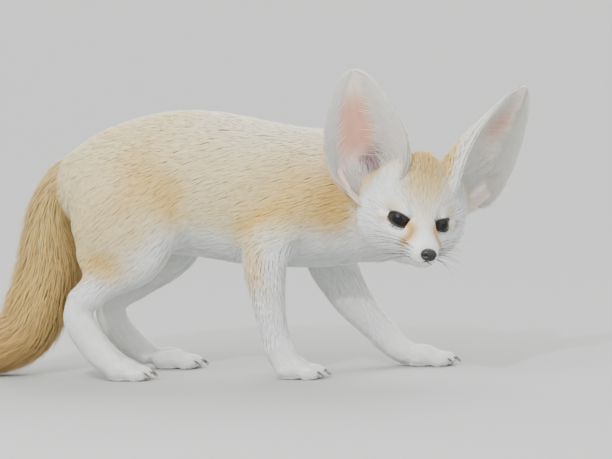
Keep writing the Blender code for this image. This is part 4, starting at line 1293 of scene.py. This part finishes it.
def on_ball(side, flat, radius):
    """Points over the eyeball from arc millimetres outward and upward, and the ways out there."""
    looks, outward, upward = eye_axes(side)
    gap = np.linalg.norm(flat, axis=-1, keepdims=True)
    way = (flat[..., :1] * outward + flat[..., 1:] * upward) / np.maximum(gap, 1e-6)
    turn = gap / LID_RADIUS
    out = np.cos(turn) * looks + np.sin(turn) * way
    return head_point(eye_middle(side) + out * radius), out @ HEAD_AXES.T


def lid_spread(angle, gap):
    """Places at a gap outside the opening's edge, in arc millimetres."""
    edge = lid_edge(angle)
    after, before = lid_edge(angle + 0.05), lid_edge(angle - 0.05)
    out = np.stack([after[..., 1] - before[..., 1], before[..., 0] - after[..., 0]], -1)
    out = unit(unit(out) + 0.6 * unit(edge * (0.7, 1.3)))
    return edge + out * gap[..., None]


def lids(side):
    """The lids: dark rims round the opening, then furred skin that sinks into the face."""
    count = 96
    angle = 2 * np.pi * np.arange(count) / count
    rows = []
    for gap, radius in LID_ROW:
        rows.append(on_ball(side, lid_spread(angle, np.full(count, float(gap))), radius)[0])
    points = np.concatenate(rows)
    gaps = np.repeat([gap for gap, _ in LID_ROW], count)
    # A little darker than the face: painted shade under the lids' short hair.
    colours = face_markings(points) * 0.9
    corners_wider = 1.6 * np.tile(np.cos(angle) ** 8, len(LID_ROW))
    colours = mixed(colours, LID_BLACK, smooth(corners_wider - gaps, -1.9, -1.3))
    loops = grid_loops(len(LID_ROW), count, round_way=True).reshape(-1, 4)
    corners = points[loops[0]]
    way = np.cross(corners[1] - corners[0], corners[2] - corners[0])
    if way @ (corners[0] - head_point(eye_middle(side))) < 0:
        loops = loops[:, ::-1]
    mesh_object("lids_" + side, points, loops, LID_SKIN, "face_fur", (), colours)


def lid_fur(side):
    """Very short hair on the lids, away from the opening, dark beside it."""
    count = 900
    angle = draw.uniform(0, 2 * np.pi, count)
    gap = 1.1 + 5.4 * draw.uniform(size=count) ** 0.9
    length = draw.uniform(2.0, 3.4, count)
    paths, ups = [], []
    for k in range(3):
        flat = lid_spread(angle + draw.normal(0, 0.01, count), gap + length * k / 2)
        reach = np.interp(gap + length * k / 2, *zip(*LID_ROW))
        point, up = on_ball(side, flat, (np.maximum(reach, 11.3) + (0, 0.45, 0.75)[k])[:, None])
        paths.append(point)
        ups.append(up)
    paths, ups = np.stack(paths, 1), np.stack(ups, 1)
    base = face_markings(paths[:, 1])
    base = mixed(base, (0.03, 0.02, 0.018), 0.85 * smooth(1.6 * np.cos(angle) ** 8 - gap, -1.7, -1.2))
    patches = 0.05 + 0.9 * (0.5 + lid_spread(angle, gap) / 45)
    width = draw.uniform(0.35, 0.55, count)
    tufts("coat_lids_" + side, paths, ups, width, shaded(base, 3), patches, "face_fur")


for side in SIDES:
    eye_piece(side)
    lids(side)
    lid_fur(side)

NOSE_SKIN = material("nose_skin", (0.012, 0.012, 0.015), 0.42, specular=0.45, bump=(1500, 0.45, 0.35))


def nose_piece():
    """The nose pad, with a comma-shaped nostril on each side and a groove down its front."""
    middle = head_point(NOSE_AT)
    points, loops = ball(np.zeros(3), NOSE_HALF, 64, 72)
    x, y, z = (points / NOSE_HALF).T
    front = smooth(x, -0.1, 0.5)
    pit = np.exp(-(((np.abs(y) - 0.52) / 0.24) ** 2) - ((z + 0.02) / 0.26) ** 2) * front
    slit = np.exp(-(((np.abs(y) - 0.78) / 0.20) ** 2) - ((z + 0.22) / 0.13) ** 2) * smooth(x, -0.3, 0.3)
    groove = hump(y, 0.09) * smooth(-z, -0.2, 0.4) * front
    shape = unit(points)
    points = points - shape * (1.9 * pit + 1.3 * slit + 0.7 * groove)[:, None]
    points[:, 2] += 0.5 * np.clip(z, 0, 1) * np.abs(y) * front
    points = middle + points @ HEAD_AXES.T
    mesh_object("nose_pad", points, loops, NOSE_SKIN, "nose_skin", ["nose"])


nose_piece()
LIP = material("lip_skin", (0.16, 0.085, 0.075), 0.5, specular=0.4)
WHISKER = material("whisker", (0.06, 0.055, 0.05), 0.5, specular=0.3)
CLAW = material("claw", (0.10, 0.075, 0.06), 0.35, specular=0.5, bump=(500, 0.2, 0.3))
PAD = material("paw_pad", (0.36, 0.27, 0.25), 0.75, specular=0.3, bump=(1200, 0.5, 0.4))


def mouth_line():
    """The thin line of the lips, laid on the skin, and the short one up to the nose."""
    left = on_curve(MOUTH, 8)
    right = left[:0:-1] * (1, -1, 1)
    path = np.concatenate([right, left])
    surface = on_skin(head_point(path))[0]
    ends = np.minimum(np.arange(len(path)), np.arange(len(path))[::-1])
    line = tube(surface, 0.2 + 0.35 * smooth(ends, 0, 14), sides=6)
    front = on_skin(head_point(np.array([(68.5, 0, z) for z in np.linspace(-17.2, -19.4, 6)])))[0]
    philtrum = tube(front, 0.35, sides=6)
    mesh_object("lips", *joined([line, philtrum]), LIP, "nose_skin")


mouth_line()


def whiskers():
    """Long thin hairs from the muzzle, the chin's sides and over the eyes, drooping a little."""
    parts = []

    def hair(root, way, length, droop, radius):
        t = np.linspace(0, 1, 9)[:, None]
        start = on_skin(head_point(np.array([root])))[0][0]
        way = HEAD_AXES @ unit(np.asarray(way, float))
        line = start + way * (t * length) + np.array((0, 0, -droop)) * t**2
        parts.append(tube(line, radius * (1 - 0.93 * t[:, 0]), sides=4))

    for side in (1, -1):
        for row in range(4):
            for k in range(4):
                x, z = 57 - 4.2 * k - row * 0.8, -12.5 - 2.4 * row
                back = -0.55 - 0.22 * k + draw.normal(0, 0.12)
                way = (back, side, 0.16 - 0.16 * row + draw.normal(0, 0.08))
                hair((x, side * 9, z), way, 26 + 7 * k + draw.uniform(-4, 7), 6 + 2 * k, 0.22)
        for k in range(3):
            way = (0.25 - 0.2 * k, side * (0.5 + 0.2 * k), 0.8)
            hair((32 - 3 * k, side * (9 + 3 * k), 15), way, 20 + 3 * k, -1, 0.11)
        for k in range(2):
            hair((28 - 6 * k, side * 27, -14), (-0.3, side, -0.3), 20, 4, 0.11)
    mesh_object("whiskers", *joined(parts), WHISKER, "face_fur")


whiskers()


def claws_and_pads():
    """A curved claw at the tip of each toe, and the pads under the toes."""
    claws, pads, narrow = [], [], 0.7
    t = np.linspace(0, 1, 8)[:, None]
    for paw in PAW_HEEL:
        for middle in toe_middles(paw):
            line = middle + CLAW_START + t * (CLAW_LENGTH, 0, 0) - t**2 * (0, 0, CLAW_DROOP)
            radius = CLAW_RADIUS * (1 - 0.85 * t[:, 0] ** 1.3)
            points, loops = tube(line, radius, sides=10)
            points[:, 1] = middle[1] + (points[:, 1] - middle[1]) * narrow
            claws.append((points, loops))
            pads.append(ball(middle + (2.0, 0, -4.3), (4.2, 2.8, 1.6), 16, 20))
        heel = SHIFT + PAW_HEEL[paw] + (15, 0, 1.6)
        pads.append(ball(heel, (8.0, 7.5, 1.8), 16, 24))
    for name, parts, paint in (("claws", claws, CLAW), ("pads", pads, PAD)):
        points, loops = joined(parts)
        points[:, 2] = np.maximum(points[:, 2], 0)
        mesh_object(name, points, loops, paint, "nose_skin")


claws_and_pads()


# The floor, the light and the camera.

FLOOR_RADIUS = 40
VIEW_AZIMUTH, VIEW_ELEVATION, VIEW_ROLL = 8.0, 5.0, -1.7
VIEW_DISTANCE, VIEW_WIDTH = 2.6, 0.5202
VIEW_FOCUS = (SHIFT + (0, 0, 122.4)) * MM
LIT_MIDDLE = (0, 0, 0.13)

# The suns: name, azimuth, elevation, softness in degrees, strength and colour.
SUNS = [
    ("key", -30, 45, 50, 2.0, (1.0, 0.98, 0.94)),
    ("back", 165, 50, 45, 3.0, (1.0, 0.98, 0.95)),
    ("fill", 60, 25, 60, 0.8, (1.0, 1.0, 1.0)),
]


def floor():
    mesh = bpy.data.meshes.new("floor")
    bm = bmesh.new()
    bmesh.ops.create_circle(bm, cap_ends=True, segments=96, radius=FLOOR_RADIUS)
    bm.to_mesh(mesh)
    bm.free()
    obj = linked("floor", mesh)
    obj.data.materials.append(material("floor", (0.40, 0.415, 0.405), 0.9, specular=0.1))


def placed(name, data, azimuth, elevation, middle=(0, 0, 0), distance=0.0, roll=0.0):
    """An object that looks at the middle from an azimuth and an elevation in degrees, at a distance."""
    a, e = math.radians(azimuth), math.radians(elevation)
    back = Vector((math.sin(a) * math.cos(e), -math.cos(a) * math.cos(e), math.sin(e)))
    obj = linked(name, data)
    obj.location = Vector(middle) + back * distance
    turn = (-back).to_track_quat("-Z", "Y") @ Quaternion((0, 0, 1), math.radians(roll))
    obj.rotation_euler = turn.to_euler()
    return obj


def lamp(name, kind, energy, colour, azimuth, elevation, distance=0.0):
    """A light that faces the model's middle."""
    light = bpy.data.lights.new(name, kind)
    light.energy, light.color = energy, colour
    placed(name, light, azimuth, elevation, LIT_MIDDLE, distance)
    return light


def world():
    made = bpy.data.worlds.new("studio")
    made.use_nodes = True
    sky = made.node_tree.nodes["Background"]
    sky.inputs["Color"].default_value = (0.97, 1.0, 0.99, 1)
    sky.inputs["Strength"].default_value = 1.2
    bpy.context.scene.world = made


def camera():
    lens = bpy.data.cameras.new("camera")
    lens.sensor_width = 36
    lens.lens = 36 * VIEW_DISTANCE / VIEW_WIDTH
    view = VIEW_AZIMUTH, VIEW_ELEVATION, VIEW_FOCUS, VIEW_DISTANCE, VIEW_ROLL
    bpy.context.scene.camera = placed("camera", lens, *view)


floor()
world()
for name, azimuth, elevation, softness, energy, colour in SUNS:
    lamp(name, "SUN", energy, colour, azimuth, elevation).angle = math.radians(softness)
catchlight = lamp("catchlight", "AREA", 14, (1.0, 1.0, 1.0), -12, 38, distance=1.5)
catchlight.shape, catchlight.size = "DISK", 0.06
camera()
